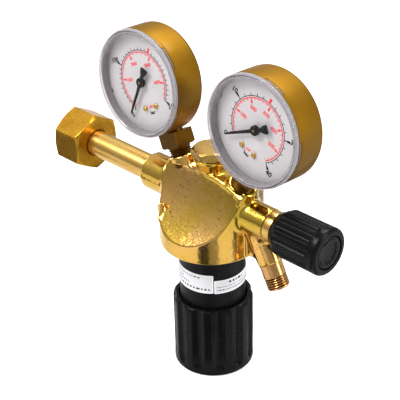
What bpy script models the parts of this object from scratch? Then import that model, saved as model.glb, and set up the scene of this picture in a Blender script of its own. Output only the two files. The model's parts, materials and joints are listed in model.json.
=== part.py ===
"""Gas regulator with two pressure gauges, an adjusting knob and an outlet valve.

Frame: the origin is the centre of the inlet washer's sealing face. +X runs along the inlet
nipple to the outlet valve, +Z is up along the adjusting spindle, and the dials face -Y.
Sizes and places below are in millimetres; MM turns them into Blender's metres.
"""
import math

import bmesh
import bpy
from mathutils import Matrix, Vector

MM = 0.001
GAP = 0.3          # clearance between two pieces that touch
WELD = 0.00001     # merge distance of turned shapes, in metres
LARGE, MEDIUM, SMALL, TINY = 32, 20, 12, 8     # facets round a turned piece

# main axes
BODY_X = 106.0     # inlet sealing face to spindle axis

# forged body
BELL_R = 30.2
BELL_BOTTOM = -27.2
DOME_TOP = 18.6
DOME_EDGE = 13.0
SCOOP_R = 68.3
SCOOP_Y, SCOOP_Z = -70.4, 38.1
TOP_BOSS_R, TOP_BOSS_Z, TOP_BOSS_RIM = 9.8, 26.8, 2.2
INLET_BOSS_R, INLET_BOSS_X = 11.3, 59.3
OUTLET_BOSS_R, OUTLET_BOSS_X = 9.6, 152.0
RECESS_R, RECESS_TOP = 27.3, -16.0
CHAMBER_R, CHAMBER_TOP = 23.0, -11.5
CAP_BORE_R, CAP_BORE_Z = 6.8, 19.6
VALVE_BORE_R, SEAT_BORE_R, SEAT_TOP = 3.4, 5.2, -4.5
PASSAGE_R = 2.0

# outlet spigot: leaves the outlet axis and slants down and outwards
SPIGOT_X = BODY_X + 32.9
SPIGOT_SLANT = math.radians(26.4)
SPIGOT_COLLAR, SPIGOT_THREAD, SPIGOT_END = 27.3, 34.6, 42.6
SPIGOT_R, SPIGOT_THREAD_R, SPIGOT_BORE_R = 6.95, 6.55, 2.4
WEB_THICK = 9.0

# inlet nipple and union nut
TUBE_R, TUBE_BORE_R, TUBE_END = 7.9, 2.8, 67.0
COLLAR_R, COLLAR_X0, COLLAR_X1 = 10.3, 2.5, 6.0
NOSE_R, FILTER_R, FILTER_LEN = 5.2, 3.9, 12.0
NUT_FLATS, NUT_X0, NUT_X1 = 32.0, -12.0, 9.0
NUT_BORE_R, NUT_BACK_R, NUT_SHOULDER = 10.9, 8.5, 6.3

# valve cap
CAP_FLATS, CAP_Z0, CAP_Z1 = 19.0, 28.2, 32.2
CAP_SHANK_R, CAP_SHANK_Z, CAP_POCKET_Z = 6.5, 20.0, 24.0

# spring housing, screw and knob
BONNET_R, BONNET_BORE_R = 19.5, 16.6
BONNET_FLANGE_R, BONNET_TOP, BONNET_BOTTOM = 27.0, -17.8, -84.0
BONNET_FLOOR = -80.0
KEY_R, KEY_WIDTH = 18.0, 4.0
SPINDLE_R, SPINDLE_TOP, SPINDLE_END = 4.0, -53.0, -98.0
PLATE_TOP, PLATE_THICK, PLATE_R = -62.0, 4.0, 15.5
SCREW_PITCH, KNOB_TURNS = 1.5, 5.0
KNOB_R, KNOB_TOP, KNOB_BOTTOM = 23.9, -64.5, -110.8
KNOB_BORE_R, KNOB_FLUTES = 20.4, 12
FLUTE_R, FLUTE_DEPTH, FLUTE_PHASE = 4.6, 1.9, math.radians(-69.3)

# outlet valve
CHAMBER_X, OUTLET_BORE_R = 135.0, 6.9
OUTLET_KNOB_R, OUTLET_KNOB_X0, OUTLET_KNOB_X1 = 13.9, 157.9, 192.5
OUTLET_FLANGE_R, OUTLET_FLANGE_X = 9.3, 157.5

# gauges
GAUGE_X, GAUGE_Y, GAUGE_Z = 42.9, -14.7, 62.1
GAUGE_TILT = math.radians(-4.4)
GAUGE_ROLL = {-1: math.radians(-26.4), 1: math.radians(22.4)}
CASE_R, CASE_DEPTH, CASE_WALL = 31.5, 24.3, 1.0
STEM_DEPTH = 17.6
STEM_SQUARE, SQUARE_END, STEM_END = 14.0, 41.0, 53.5
PORT_TOP, PORT_R, PORT_END = 46.2, 6.9, 54.2
GAUGE_BOSS_R = 8.8
ZERO_ANGLE = 135.0       # zero mark, degrees anticlockwise from the top of the dial
SECTOR_PIVOT = -8.0      # the sector's pivot, below the pointer's arbor
GEAR_RATIO = 8.0
PINION_R = -SECTOR_PIVOT / (1 + GEAR_RATIO)
SECTOR_R = PINION_R * GEAR_RATIO
TAIL = 7.0               # sector pivot to the pull rod's pin
DIAL_SCREW_Z = -15.0     # dial screws, below the dial's centre


def clear_scene():
    for obj in list(bpy.data.objects):
        bpy.data.objects.remove(obj, do_unlink=True)


def new_collection(name):
    collection = bpy.data.collections.new(name)
    bpy.context.scene.collection.children.link(collection)
    return collection


def material(name, colour, metallic, roughness):
    mat = bpy.data.materials.new(name)
    mat.use_nodes = True
    shader = mat.node_tree.nodes["Principled BSDF"]
    shader.inputs["Base Color"].default_value = (*colour, 1.0)
    shader.inputs["Metallic"].default_value = metallic
    shader.inputs["Roughness"].default_value = roughness
    return mat


# names, colours, metallic and roughness of the finishes
FINISHES = {
    "forged_brass": ((0.80, 0.55, 0.17), 1.0, 0.22),
    "turned_brass": ((0.84, 0.62, 0.26), 1.0, 0.28),
    "gold_lacquer": ((0.52, 0.36, 0.09), 1.0, 0.42),
    "steel": ((0.60, 0.60, 0.61), 1.0, 0.32),
    "black_plastic": ((0.012, 0.012, 0.013), 0.0, 0.36),
    "clear_plastic": ((0.90, 0.91, 0.92), 0.0, 0.06),
    "dial_white": ((0.82, 0.81, 0.80), 0.0, 0.55),
    "label_white": ((0.84, 0.84, 0.85), 0.0, 0.45),
    "rubber": ((0.02, 0.02, 0.02), 0.0, 0.70),
    "seal_white": ((0.80, 0.80, 0.76), 0.0, 0.50),
}


def add_object(name, mesh, collection, finish=None, parent=None):
    obj = bpy.data.objects.new(name, mesh)
    collection.objects.link(obj)
    if finish is not None:
        spec = FINISHES[finish]
        obj.data.materials.append(material(name + "_finish", *spec))
    obj.parent = parent
    return obj


def turned(name, profile, finish, at=(0, 0, 0), along="Z", steps=MEDIUM, parent=None, closed=False):
    """A turned piece. profile holds (radius, height) from the top of the outer side down."""
    mesh = bpy.data.meshes.new(name)
    points = [(r * MM, 0.0, h * MM) for r, h in profile]
    edges = [(i, i + 1) for i in range(len(points) - 1)]
    if closed:
        edges.append((len(points) - 1, 0))
    mesh.from_pydata(points, edges, [])
    obj = add_object(name, mesh, PARTS, finish, parent)
    obj.location = Vector(at) * MM
    if along == "X":
        obj.rotation_euler = (0.0, math.pi / 2, 0.0)
    if along == "Y":
        obj.rotation_euler = (-math.pi / 2, 0.0, 0.0)
    screw = obj.modifiers.new("turn", "SCREW")
    screw.axis = "Z"
    screw.angle = 2 * math.pi
    screw.steps = steps
    screw.render_steps = steps
    screw.use_merge_vertices = True
    screw.merge_threshold = WELD
    return obj


def rod(name, start, end, radius, radius_end=None, facets=MEDIUM, collection=None):
    """A cylinder or cone between two points, for joining or cutting."""
    start, end = Vector(start) * MM, Vector(end) * MM
    radius_end = radius if radius_end is None else radius_end
    mesh = bpy.data.meshes.new(name)
    shape = bmesh.new()
    bmesh.ops.create_cone(shape, cap_ends=True, segments=facets, radius1=radius * MM,
                          radius2=radius_end * MM, depth=(end - start).length)
    shape.to_mesh(mesh)
    shape.free()
    obj = add_object(name, mesh, collection or TOOLS)
    turn = (end - start).to_track_quat("Z", "Y").to_matrix().to_4x4()
    obj.matrix_world = Matrix.Translation((start + end) / 2) @ turn
    hide(obj)
    return obj


def block(name, low, high, collection=None, parent=None, finish=None):
    """A box between two corners."""
    low, high = Vector(low) * MM, Vector(high) * MM
    mesh = bpy.data.meshes.new(name)
    shape = bmesh.new()
    bmesh.ops.create_cube(shape, size=1.0)
    bmesh.ops.scale(shape, vec=high - low, verts=shape.verts)
    bmesh.ops.translate(shape, vec=(high + low) / 2, verts=shape.verts)
    shape.to_mesh(mesh)
    shape.free()
    obj = add_object(name, mesh, collection or TOOLS, finish, parent)
    if finish is None:
        hide(obj)
    return obj


def hexagon(name, flats, low, high, phase=0.0, along="Z", at=(0, 0, 0)):
    """A hexagonal prism, for joining or for intersecting with a turned blank."""
    mesh = bpy.data.meshes.new(name)
    shape = bmesh.new()
    radius = flats / math.sqrt(3) * MM
    bmesh.ops.create_cone(shape, cap_ends=True, segments=6, radius1=radius, radius2=radius,
                          depth=(high - low) * MM)
    bmesh.ops.rotate(shape, cent=(0, 0, 0), matrix=Matrix.Rotation(phase, 3, "Z"), verts=shape.verts)
    bmesh.ops.translate(shape, vec=(0, 0, (high + low) / 2 * MM), verts=shape.verts)
    shape.to_mesh(mesh)
    shape.free()
    obj = add_object(name, mesh, TOOLS)
    obj.location = Vector(at) * MM
    if along == "X":
        obj.rotation_euler = (0.0, math.pi / 2, 0.0)
    hide(obj)
    return obj


def plate(name, outline, near, far, frame, finish=None):
    """A flat piece: its outline lies in the frame's x and z, between two depths along y."""
    curve = bpy.data.curves.new(name, "CURVE")
    curve.dimensions = "2D"
    curve.fill_mode = "BOTH"
    curve.extrude = (far - near) / 2 * MM
    spline = curve.splines.new("POLY")
    spline.points.add(len(outline) - 1)
    for point, (x, z) in zip(spline.points, outline):
        point.co = (x * MM, z * MM, 0.0, 1.0)
    spline.use_cyclic_u = True
    source = bpy.data.objects.new(name + "_outline", curve)
    TOOLS.objects.link(source)
    bpy.context.view_layer.update()
    shape = source.evaluated_get(bpy.context.evaluated_depsgraph_get())
    mesh = bpy.data.meshes.new_from_object(shape)
    bpy.data.objects.remove(source, do_unlink=True)
    weld = bmesh.new()
    weld.from_mesh(mesh)
    bmesh.ops.remove_doubles(weld, verts=weld.verts, dist=WELD)
    bmesh.ops.rotate(weld, cent=(0, 0, 0), matrix=Matrix.Rotation(math.pi / 2, 3, "X"), verts=weld.verts)
    bmesh.ops.translate(weld, vec=(0, (near + far) / 2 * MM, 0), verts=weld.verts)
    weld.to_mesh(mesh)
    weld.free()
    obj = add_object(name, mesh, PARTS if finish else TOOLS, finish)
    obj.matrix_world = frame
    if finish is None:
        hide(obj)
    return obj


def hide(obj):
    obj.hide_render = True
    obj.display_type = "WIRE"


def combine(target, tool, operation):
    boolean = target.modifiers.new(tool.name, "BOOLEAN")
    boolean.operation = operation
    boolean.solver = "EXACT"
    boolean.object = tool


def join(target, *tools):
    for tool in tools:
        combine(target, tool, "UNION")


def cut(target, *tools):
    for tool in tools:
        combine(target, tool, "DIFFERENCE")


def smooth(obj, degrees=32):
    """Smooth shading on the round sides, sharp at the edges."""
    obj.data.shade_smooth()
    obj.data.set_sharp_from_angle(angle=math.radians(degrees))


def arc(centre_r, centre_h, radius, start, end, count):
    """Points on an arc of a turned profile; the angles are in degrees."""
    points = []
    for i in range(count + 1):
        angle = math.radians(start + (end - start) * i / count)
        points.append((centre_r + radius * math.cos(angle), centre_h + radius * math.sin(angle)))
    return points


def spigot_point(distance):
    return (SPIGOT_X + distance * math.sin(SPIGOT_SLANT), 0.0, -distance * math.cos(SPIGOT_SLANT))


def gauge_matrix(side):
    """Place of a gauge: its origin is the centre of the front ring."""
    place = Matrix.Translation(Vector((BODY_X + side * GAUGE_X, GAUGE_Y, GAUGE_Z)) * MM)
    tilt = Matrix.Rotation(GAUGE_TILT, 4, "X")
    return place @ tilt @ Matrix.Rotation(GAUGE_ROLL[side], 4, "Y")


def stem_point(side, distance):
    """A point on a gauge's stem axis, this far below the dial's centre, in millimetres."""
    return gauge_matrix(side) @ (Vector((0.0, STEM_DEPTH, -distance)) * MM) / MM


# ---------------------------------------------------------------- forged body

def build_shell():
    """The bell with its crowned top, the chamber under the valve and the recess for the housing."""
    dome_r = ((BELL_R ** 2) + (DOME_TOP - DOME_EDGE) ** 2) / (2 * (DOME_TOP - DOME_EDGE))
    dome = []
    for i in range(6):
        r = (BELL_R - 1.0) * i / 5
        dome.append((r, DOME_TOP - dome_r + math.sqrt(dome_r ** 2 - r ** 2)))
    profile = dome + [(BELL_R, dome[-1][1] - 1.2), (BELL_R, BELL_BOTTOM + 0.8), (BELL_R - 0.8, BELL_BOTTOM),
                      (RECESS_R, BELL_BOTTOM), (RECESS_R, RECESS_TOP), (CHAMBER_R, RECESS_TOP),
                      (CHAMBER_R, CHAMBER_TOP), (SEAT_BORE_R, CHAMBER_TOP), (SEAT_BORE_R, SEAT_TOP),
                      (0.0, SEAT_TOP)]
    return turned("body", profile, "forged_brass", at=(BODY_X, 0, 0), steps=LARGE)


def web_under_spigot():
    """The plate of metal between the bell and the slanted spigot."""
    outline = [(BODY_X + 27.5, -3.0), (BODY_X + 27.5, -24.5), (BODY_X + 31.5, -25.6),
               (BODY_X + 38.5, -24.0), (BODY_X + 34.0, -3.0)]
    return plate("web", outline, -WEB_THICK / 2, WEB_THICK / 2, Matrix())


def build_body():
    body = build_shell()
    cut(body, rod("scoop", (BODY_X - 40, SCOOP_Y, SCOOP_Z), (BODY_X + 40, SCOOP_Y, SCOOP_Z), SCOOP_R,
                  facets=90))
    rim = TOP_BOSS_Z - TOP_BOSS_RIM
    join(body, rod("top_boss", (BODY_X, 0, 10.0), (BODY_X, 0, rim + 0.4), 3.6, TOP_BOSS_R - 0.5, facets=MEDIUM + 4))
    join(body, rod("top_boss_rim", (BODY_X, 0, rim), (BODY_X, 0, TOP_BOSS_Z), TOP_BOSS_R, facets=MEDIUM + 2))
    join(body, rod("inlet_boss", (BODY_X - 18, 0, 0), (INLET_BOSS_X, 0, 0), INLET_BOSS_R))
    join(body, rod("outlet_boss", (BODY_X + 18, 0, 0), (OUTLET_BOSS_X, 0, 0), OUTLET_BOSS_R, facets=MEDIUM + 2))
    join(body, web_under_spigot())
    join(body, rod("spigot_neck", spigot_point(3), spigot_point(SPIGOT_COLLAR), SPIGOT_R + 0.5, SPIGOT_R,
                   facets=MEDIUM - 4))
    join(body, rod("spigot_thread", spigot_point(20), spigot_point(SPIGOT_END - 0.8), SPIGOT_THREAD_R,
                   facets=MEDIUM - 2))
    join(body, rod("spigot_nose", spigot_point(24), spigot_point(SPIGOT_END), SPIGOT_THREAD_R - 0.8,
                   facets=MEDIUM - 6))
    for side, word in ((-1, "left"), (1, "right")):
        join(body, rod(word + "_gauge_boss", stem_point(side, 70), stem_point(side, PORT_TOP),
                       GAUGE_BOSS_R + 2.0, GAUGE_BOSS_R))
    cut_bores(body)
    return body


def cut_bores(body):
    cut(body, rod("cap_bore", (BODY_X, 0, CAP_BORE_Z), (BODY_X, 0, TOP_BOSS_Z + 5), CAP_BORE_R))
    cut(body, rod("valve_bore", (BODY_X, 0, SEAT_TOP - 2), (BODY_X, 0, TOP_BOSS_Z + 6), VALVE_BORE_R,
                  facets=SMALL + 2))
    cut(body, rod("chamber_bore", (BODY_X, 0, RECESS_TOP - 8), (BODY_X, 0, CHAMBER_TOP + 0.02),
                  CHAMBER_R + 0.02, facets=LARGE - 4))
    cut(body, rod("inlet_socket", (INLET_BOSS_X - 5, 0, 0), (TUBE_END + GAP, 0, 0), TUBE_R + GAP))
    cut(body, rod("inlet_passage", (TUBE_END - 2, 0, 0), (BODY_X - 1, 0, 0), PASSAGE_R, facets=SMALL))
    cut(body, rod("outlet_bore", (CHAMBER_X, 0, 0), (OUTLET_BOSS_X + 5, 0, 0), OUTLET_BORE_R,
                  facets=MEDIUM - 4))
    cut(body, rod("outlet_passage", (BODY_X + 16.5, 0, 0), (CHAMBER_X + 2, 0, 0), PASSAGE_R, facets=TINY))
    cut(body, rod("chamber_passage", (BODY_X + 18.6, 0, 1.0), (BODY_X + 18.6, 0, CHAMBER_TOP - 2), PASSAGE_R,
                  facets=TINY + 2))
    cut(body, rod("spigot_bore", spigot_point(SPIGOT_END + 5), spigot_point(3), SPIGOT_BORE_R, facets=SMALL))
    for side, word in ((-1, "left"), (1, "right")):
        cut(body, rod(word + "_port", stem_point(side, PORT_TOP - 6), stem_point(side, PORT_END), PORT_R))
        cut(body, rod(word + "_passage", stem_point(side, PORT_END - 1), (BODY_X + side * 18.6, 0, 0), 1.2,
                      facets=TINY - 2))
    smooth(body)


# ---------------------------------------------------------------- inlet

def build_inlet():
    profile = [(TUBE_BORE_R, TUBE_END), (TUBE_R - 0.5, TUBE_END), (TUBE_R, TUBE_END - 0.5),
               (TUBE_R, COLLAR_X1), (COLLAR_R, COLLAR_X1), (COLLAR_R, COLLAR_X0 + 0.4),
               (COLLAR_R - 0.4, COLLAR_X0), (NOSE_R, COLLAR_X0), (NOSE_R, 1.0),
               (FILTER_R + GAP, 1.0), (FILTER_R + GAP, 1.0 + FILTER_LEN + GAP),
               (TUBE_BORE_R, 1.0 + FILTER_LEN + GAP)]
    smooth(turned("inlet_tube", profile, "turned_brass", along="X", closed=True))
    washer = [(NOSE_R + GAP, COLLAR_X0 - GAP), (9.5, COLLAR_X0 - GAP), (9.5, 0.0), (NOSE_R + GAP, 0.0)]
    smooth(turned("inlet_seal", washer, "seal_white", along="X", closed=True))
    cup = [(0.0, FILTER_LEN + 1.0), (FILTER_R, FILTER_LEN + 1.0), (FILTER_R, 1.2), (2.4, 1.2),
           (2.4, FILTER_LEN - 1.0), (0.0, FILTER_LEN - 1.0)]
    smooth(turned("inlet_filter", cup, "turned_brass", along="X", steps=SMALL))


def build_union_nut():
    corner = NUT_FLATS / math.sqrt(3)
    face = NUT_FLATS / 2 - 0.4
    slope = (corner - face) * math.tan(math.radians(30))
    blank = [(NUT_BACK_R, NUT_X1), (face, NUT_X1), (corner + 0.2, NUT_X1 - slope - 0.12),
             (corner + 0.2, NUT_X0 + slope + 0.12), (face, NUT_X0), (NUT_BORE_R + 0.8, NUT_X0),
             (NUT_BORE_R, NUT_X0 + 0.8), (NUT_BORE_R, NUT_SHOULDER), (NUT_BACK_R, NUT_SHOULDER)]
    nut = turned("union_nut", blank, "turned_brass", along="X", closed=True, steps=LARGE)
    prism = hexagon("nut_hexagon", NUT_FLATS, NUT_X0 - 2, NUT_X1 + 2, math.radians(30), along="X")
    combine(nut, prism, "INTERSECT")
    smooth(nut)


# ---------------------------------------------------------------- high-pressure valve

def build_valve():
    at = (BODY_X, 0, 0)
    top, foot = SEAT_TOP - GAP, CHAMBER_TOP + 0.2
    seat = [(1.7, top), (SEAT_BORE_R - GAP, top), (SEAT_BORE_R - GAP, foot), (1.7, foot)]
    smooth(turned("valve_seat", seat, "turned_brass", at=at, steps=SMALL, closed=True))
    poppet = [(0.0, 4.0), (1.7, 4.0), (1.7, 0.4), (2.9, 0.4), (2.9, -3.2), (1.9, SEAT_TOP), (1.1, SEAT_TOP),
              (1.1, -12.7), (0.0, -12.7)]
    smooth(turned("valve_poppet", poppet, "turned_brass", at=at, steps=SMALL))
    coil("poppet_spring", 2.4, 0.35, 1.1, CAP_POCKET_Z - 0.7, turns=6, per_turn=8)
    build_valve_cap()
    seal = [(7.7, CAP_Z0 - GAP), (9.4, CAP_Z0 - GAP), (9.4, TOP_BOSS_Z + GAP), (7.7, TOP_BOSS_Z + GAP)]
    smooth(turned("cap_seal", seal, "turned_brass", at=at, closed=True))


def build_valve_cap():
    corner = CAP_FLATS / math.sqrt(3)
    face = CAP_FLATS / 2 - 0.2
    slope = (corner - face) * math.tan(math.radians(30))
    blank = [(0.0, CAP_Z1), (face, CAP_Z1), (corner + 0.1, CAP_Z1 - slope), (corner + 0.1, CAP_Z0),
             (CAP_SHANK_R, CAP_Z0), (CAP_SHANK_R, CAP_SHANK_Z), (3.4, CAP_SHANK_Z), (3.4, CAP_POCKET_Z),
             (0.0, CAP_POCKET_Z)]
    cap = turned("valve_cap", blank, "turned_brass", at=(BODY_X, 0, 0))
    prism = hexagon("cap_hexagon", CAP_FLATS, CAP_SHANK_Z - 3, CAP_Z1 + 3, phase=math.radians(15),
                    at=(BODY_X, 0, 0))
    combine(cap, prism, "INTERSECT")
    smooth(cap)


def coil(name, radius, wire, low, high, turns, per_turn, finish="steel"):
    """A compression spring about the spindle axis, between the two heights of its wire's centre."""
    curve = bpy.data.curves.new(name, "CURVE")
    curve.dimensions = "3D"
    curve.bevel_depth = wire * MM
    curve.bevel_resolution = 2
    curve.use_fill_caps = True
    count = turns * per_turn
    spline = curve.splines.new("POLY")
    spline.points.add(count)
    for i, point in enumerate(spline.points):
        angle = 2 * math.pi * i / per_turn
        height = low + (high - low) * i / count
        point.co = (radius * math.cos(angle) * MM, radius * math.sin(angle) * MM, height * MM, 1.0)
    obj = add_object(name, curve, PARTS, finish)
    obj.location = (BODY_X * MM, 0.0, 0.0)


# ---------------------------------------------------------------- diaphragm, spring housing and knob

def build_diaphragm():
    at = (BODY_X, 0, 0)
    top = RECESS_TOP - GAP
    sheet = [(2.4, -13.4), (15.0, -13.4), (20.5, top), (RECESS_R - GAP, top), (RECESS_R - GAP, top - 1.2),
             (20.0, top - 1.2), (14.6, -14.6), (2.4, -14.6)]
    smooth(turned("diaphragm", sheet, "rubber", at=at, closed=True))
    plate = [(0.0, -13.0), (2.0, -13.0), (2.0, -14.9), (14.0, -14.9), (14.0, -16.6), (9.4, -16.6),
             (9.4, -18.4), (0.0, -18.4)]
    smooth(turned("diaphragm_plate", plate, "steel", at=at))


def build_bonnet():
    top, foot = BONNET_TOP, BELL_BOTTOM + GAP
    profile = [(BONNET_BORE_R, top), (BONNET_FLANGE_R, top), (BONNET_FLANGE_R, foot), (BONNET_R, foot),
               (BONNET_R, BONNET_BOTTOM + 0.8), (BONNET_R - 0.8, BONNET_BOTTOM), (4.6, BONNET_BOTTOM),
               (4.6, BONNET_FLOOR), (BONNET_BORE_R, BONNET_FLOOR)]
    bonnet = turned("bonnet", profile, "black_plastic", at=(BODY_X, 0, 0), steps=LARGE, closed=True)
    cut(bonnet, block("keyway", (BODY_X - KEY_R, -KEY_WIDTH / 2, PLATE_TOP - PLATE_THICK - 2),
                      (BODY_X + KEY_R, KEY_WIDTH / 2, PLATE_TOP + SCREW_PITCH * KNOB_TURNS + 2)))
    smooth(bonnet)


def build_screw():
    at = (BODY_X, 0, 0)
    bottom = PLATE_TOP - PLATE_THICK
    plate = [(SPINDLE_R + GAP, PLATE_TOP), (PLATE_R, PLATE_TOP), (PLATE_R, bottom), (SPINDLE_R + GAP, bottom)]
    spring_plate = turned("spring_plate", plate, "steel", at=at, closed=True, steps=SMALL + 4)
    reach, half = KEY_R - GAP, KEY_WIDTH / 2 - GAP
    for side, word in ((-1, "left"), (1, "right")):
        near, far = sorted((BODY_X + side * (PLATE_R - 3), BODY_X + side * reach))
        join(spring_plate, block(word + "_key", (near, -half, bottom + 0.5), (far, half, PLATE_TOP - 0.5)))
    smooth(spring_plate)
    coil("main_spring", 11.6, 1.6, PLATE_TOP + 1.9, -18.6, turns=6, per_turn=10)
    spindle = [(0.0, SPINDLE_TOP), (SPINDLE_R - 0.6, SPINDLE_TOP), (SPINDLE_R, SPINDLE_TOP - 0.6),
               (SPINDLE_R, -76.2), (8.0, -76.2), (8.0, -78.6), (SPINDLE_R, -78.6), (SPINDLE_R, -90.0),
               (3.4, -90.0), (3.4, SPINDLE_END), (1.6, SPINDLE_END), (1.6, SPINDLE_END + 8.0),
               (0.0, SPINDLE_END + 8.0)]
    smooth(turned("adjusting_spindle", spindle, "steel", at=at, steps=SMALL))
    washer = [(SPINDLE_R + GAP, -78.9), (9.0, -78.9), (9.0, -79.7), (SPINDLE_R + GAP, -79.7)]
    smooth(turned("thrust_washer", washer, "seal_white", at=at, steps=SMALL, closed=True))


def flute_cutter(name, radius, count, flute_r, depth, low, high, phase, along="Z", at=(0, 0, 0)):
    """One mesh with a round bar at each flute, rounded at the blind end of the flute."""
    shape = bmesh.new()
    for k in range(count):
        angle = phase + 2 * math.pi * k / count
        reach = (radius + flute_r - depth) * MM
        bar = bmesh.ops.create_cone(shape, cap_ends=True, segments=TINY, radius1=flute_r * MM,
                                    radius2=flute_r * MM, depth=(high - low) * MM)
        place = Vector((reach * math.cos(angle), reach * math.sin(angle), (high + low) / 2 * MM))
        bmesh.ops.translate(shape, vec=place, verts=bar["verts"])
    mesh = bpy.data.meshes.new(name)
    shape.to_mesh(mesh)
    shape.free()
    obj = add_object(name, mesh, TOOLS)
    obj.location = Vector(at) * MM
    if along == "X":
        obj.rotation_euler = (0.0, math.pi / 2, 0.0)
    hide(obj)
    return obj


def build_adjusting_knob():
    at = (BODY_X, 0, 0)
    crown = arc(KNOB_R - 2.9, KNOB_TOP - 2.2, 2.2, 90, 0, 3)
    web_top, web_low = BONNET_BOTTOM - 1.5, BONNET_BOTTOM - 5.5
    profile = [(KNOB_BORE_R, KNOB_TOP)] + crown
    profile += [(KNOB_R, KNOB_BOTTOM + 1.4), (KNOB_R - 0.7, KNOB_BOTTOM), (20.6, KNOB_BOTTOM),
                (20.6, -108.0), (18.6, -108.0), (18.6, web_low), (8.0, web_low), (8.0, SPINDLE_END - GAP),
                (3.7, SPINDLE_END - GAP), (3.7, -90.3), (SPINDLE_R + GAP, -90.3), (SPINDLE_R + GAP, web_top),
                (KNOB_BORE_R, web_top)]
    knob = turned("adjusting_knob", profile, "black_plastic", at=at, steps=LARGE, closed=True)
    cut(knob, flute_cutter("knob_flutes", KNOB_R, KNOB_FLUTES, FLUTE_R, FLUTE_DEPTH, KNOB_BOTTOM + 3.4,
                           KNOB_TOP + 3, FLUTE_PHASE, at=at))
    smooth(knob)
    cover = [(0.0, -108.3), (20.2, -108.3), (20.2, -110.4), (19.6, KNOB_BOTTOM), (0.0, KNOB_BOTTOM)]
    smooth(turned("knob_cover", cover, "black_plastic", at=at))
    head = SPINDLE_END - 2 * GAP
    screw = [(0.0, SPINDLE_END + 7.0), (1.3, SPINDLE_END + 7.0), (1.3, head), (4.5, head), (4.5, head - 2.0),
             (3.6, head - 2.8), (0.0, head - 2.8)]
    smooth(turned("knob_screw", screw, "steel", at=at, steps=SMALL))


def label(name, start, end, low, high):
    """A thin curved label on the spring housing; the angles run from -Y towards +X, in degrees."""
    radius = (BONNET_R + GAP) * MM
    count = 14
    shape = bmesh.new()
    row = []
    for i in range(count + 1):
        angle = math.radians(start + (end - start) * i / count)
        row.append(shape.verts.new((radius * math.sin(angle), -radius * math.cos(angle), low * MM)))
    rim = [shape.edges.new(pair) for pair in zip(row, row[1:])]
    raised = bmesh.ops.extrude_edge_only(shape, edges=rim)["geom"]
    verts = [item for item in raised if isinstance(item, bmesh.types.BMVert)]
    bmesh.ops.translate(shape, vec=(0, 0, (high - low) * MM), verts=verts)
    bmesh.ops.recalc_face_normals(shape, faces=shape.faces)
    mesh = bpy.data.meshes.new(name)
    shape.to_mesh(mesh)
    shape.free()
    obj = add_object(name, mesh, PARTS, "label_white")
    obj.location = (BODY_X * MM, 0.0, 0.0)
    thicken = obj.modifiers.new("thickness", "SOLIDIFY")
    thicken.thickness = 0.2 * MM
    thicken.offset = 0.0
    return obj


# ---------------------------------------------------------------- outlet valve

def build_outlet_valve():
    flange_x0 = OUTLET_BOSS_X + GAP
    bush = [(3.3, OUTLET_FLANGE_X), (OUTLET_FLANGE_R - 0.4, OUTLET_FLANGE_X),
            (OUTLET_FLANGE_R, OUTLET_FLANGE_X - 0.4), (OUTLET_FLANGE_R, flange_x0), (6.5, flange_x0),
            (6.5, 143.0), (5.4, 143.0), (5.4, 146.0), (3.3, 146.0)]
    smooth(turned("outlet_bonnet", bush, "turned_brass", along="X", closed=True))
    ring = arc(4.2, 144.7, 0.8, 90, -270, 10)[:-1]
    smooth(turned("outlet_o_ring", ring, "rubber", along="X", closed=True, steps=SMALL))
    spindle = [(0.0, 181.5), (2.4, 181.5), (2.4, 165.0), (3.0, 165.0), (3.0, 141.0), (0.0, 141.0)]
    smooth(turned("outlet_spindle", spindle, "steel", along="X", steps=SMALL))
    plunger = [(0.0, 138.4), (4.6, 138.4), (4.6, 135.6), (3.8, 135.3), (0.0, 135.3)]
    smooth(turned("outlet_plunger", plunger, "turned_brass", along="X", steps=SMALL))
    build_outlet_knob()


def build_outlet_knob():
    x0, x1, r = OUTLET_KNOB_X0, OUTLET_KNOB_X1, OUTLET_KNOB_R
    nose = arc(r - 2.4, x1 - 2.4, 2.4, 90, 0, 3)
    profile = [(9.9, x1 - 2.4), (9.9, x1)] + nose
    profile += [(r, x0 + 4.2), (r - 0.6, x0 + 2.6), (10.4, x0), (7.4, x0), (7.4, x0 + 9.0), (3.3, x0 + 9.0),
                (3.3, 165.3 + 2.0), (2.7, 165.3 + 2.0), (2.7, 181.8), (6.0, 181.8), (6.0, x1 - 2.4)]
    knob = turned("outlet_knob", profile, "black_plastic", along="X", steps=LARGE - 8, closed=True)
    cut(knob, flute_cutter("outlet_flutes", r, 12, 2.5, 1.1, x0 + 1.5, x1 - 4.6, math.radians(15), along="X"))
    smooth(knob)
    cap = [(0.0, x1 - 0.2), (9.0, x1 - 0.2), (9.5, x1 - 0.7), (9.5, x1 - 2.0), (5.4, x1 - 2.0),
           (5.4, x1 - 4.0), (0.0, x1 - 4.0)]
    smooth(turned("outlet_knob_cap", cap, "black_plastic", along="X"))
    screw = [(0.0, 185.0), (3.2, 185.0), (3.8, 184.4), (3.8, 182.1), (0.0, 182.1)]
    smooth(turned("outlet_knob_screw", screw, "steel", along="X", steps=SMALL))


# ---------------------------------------------------------------- gauges

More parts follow.
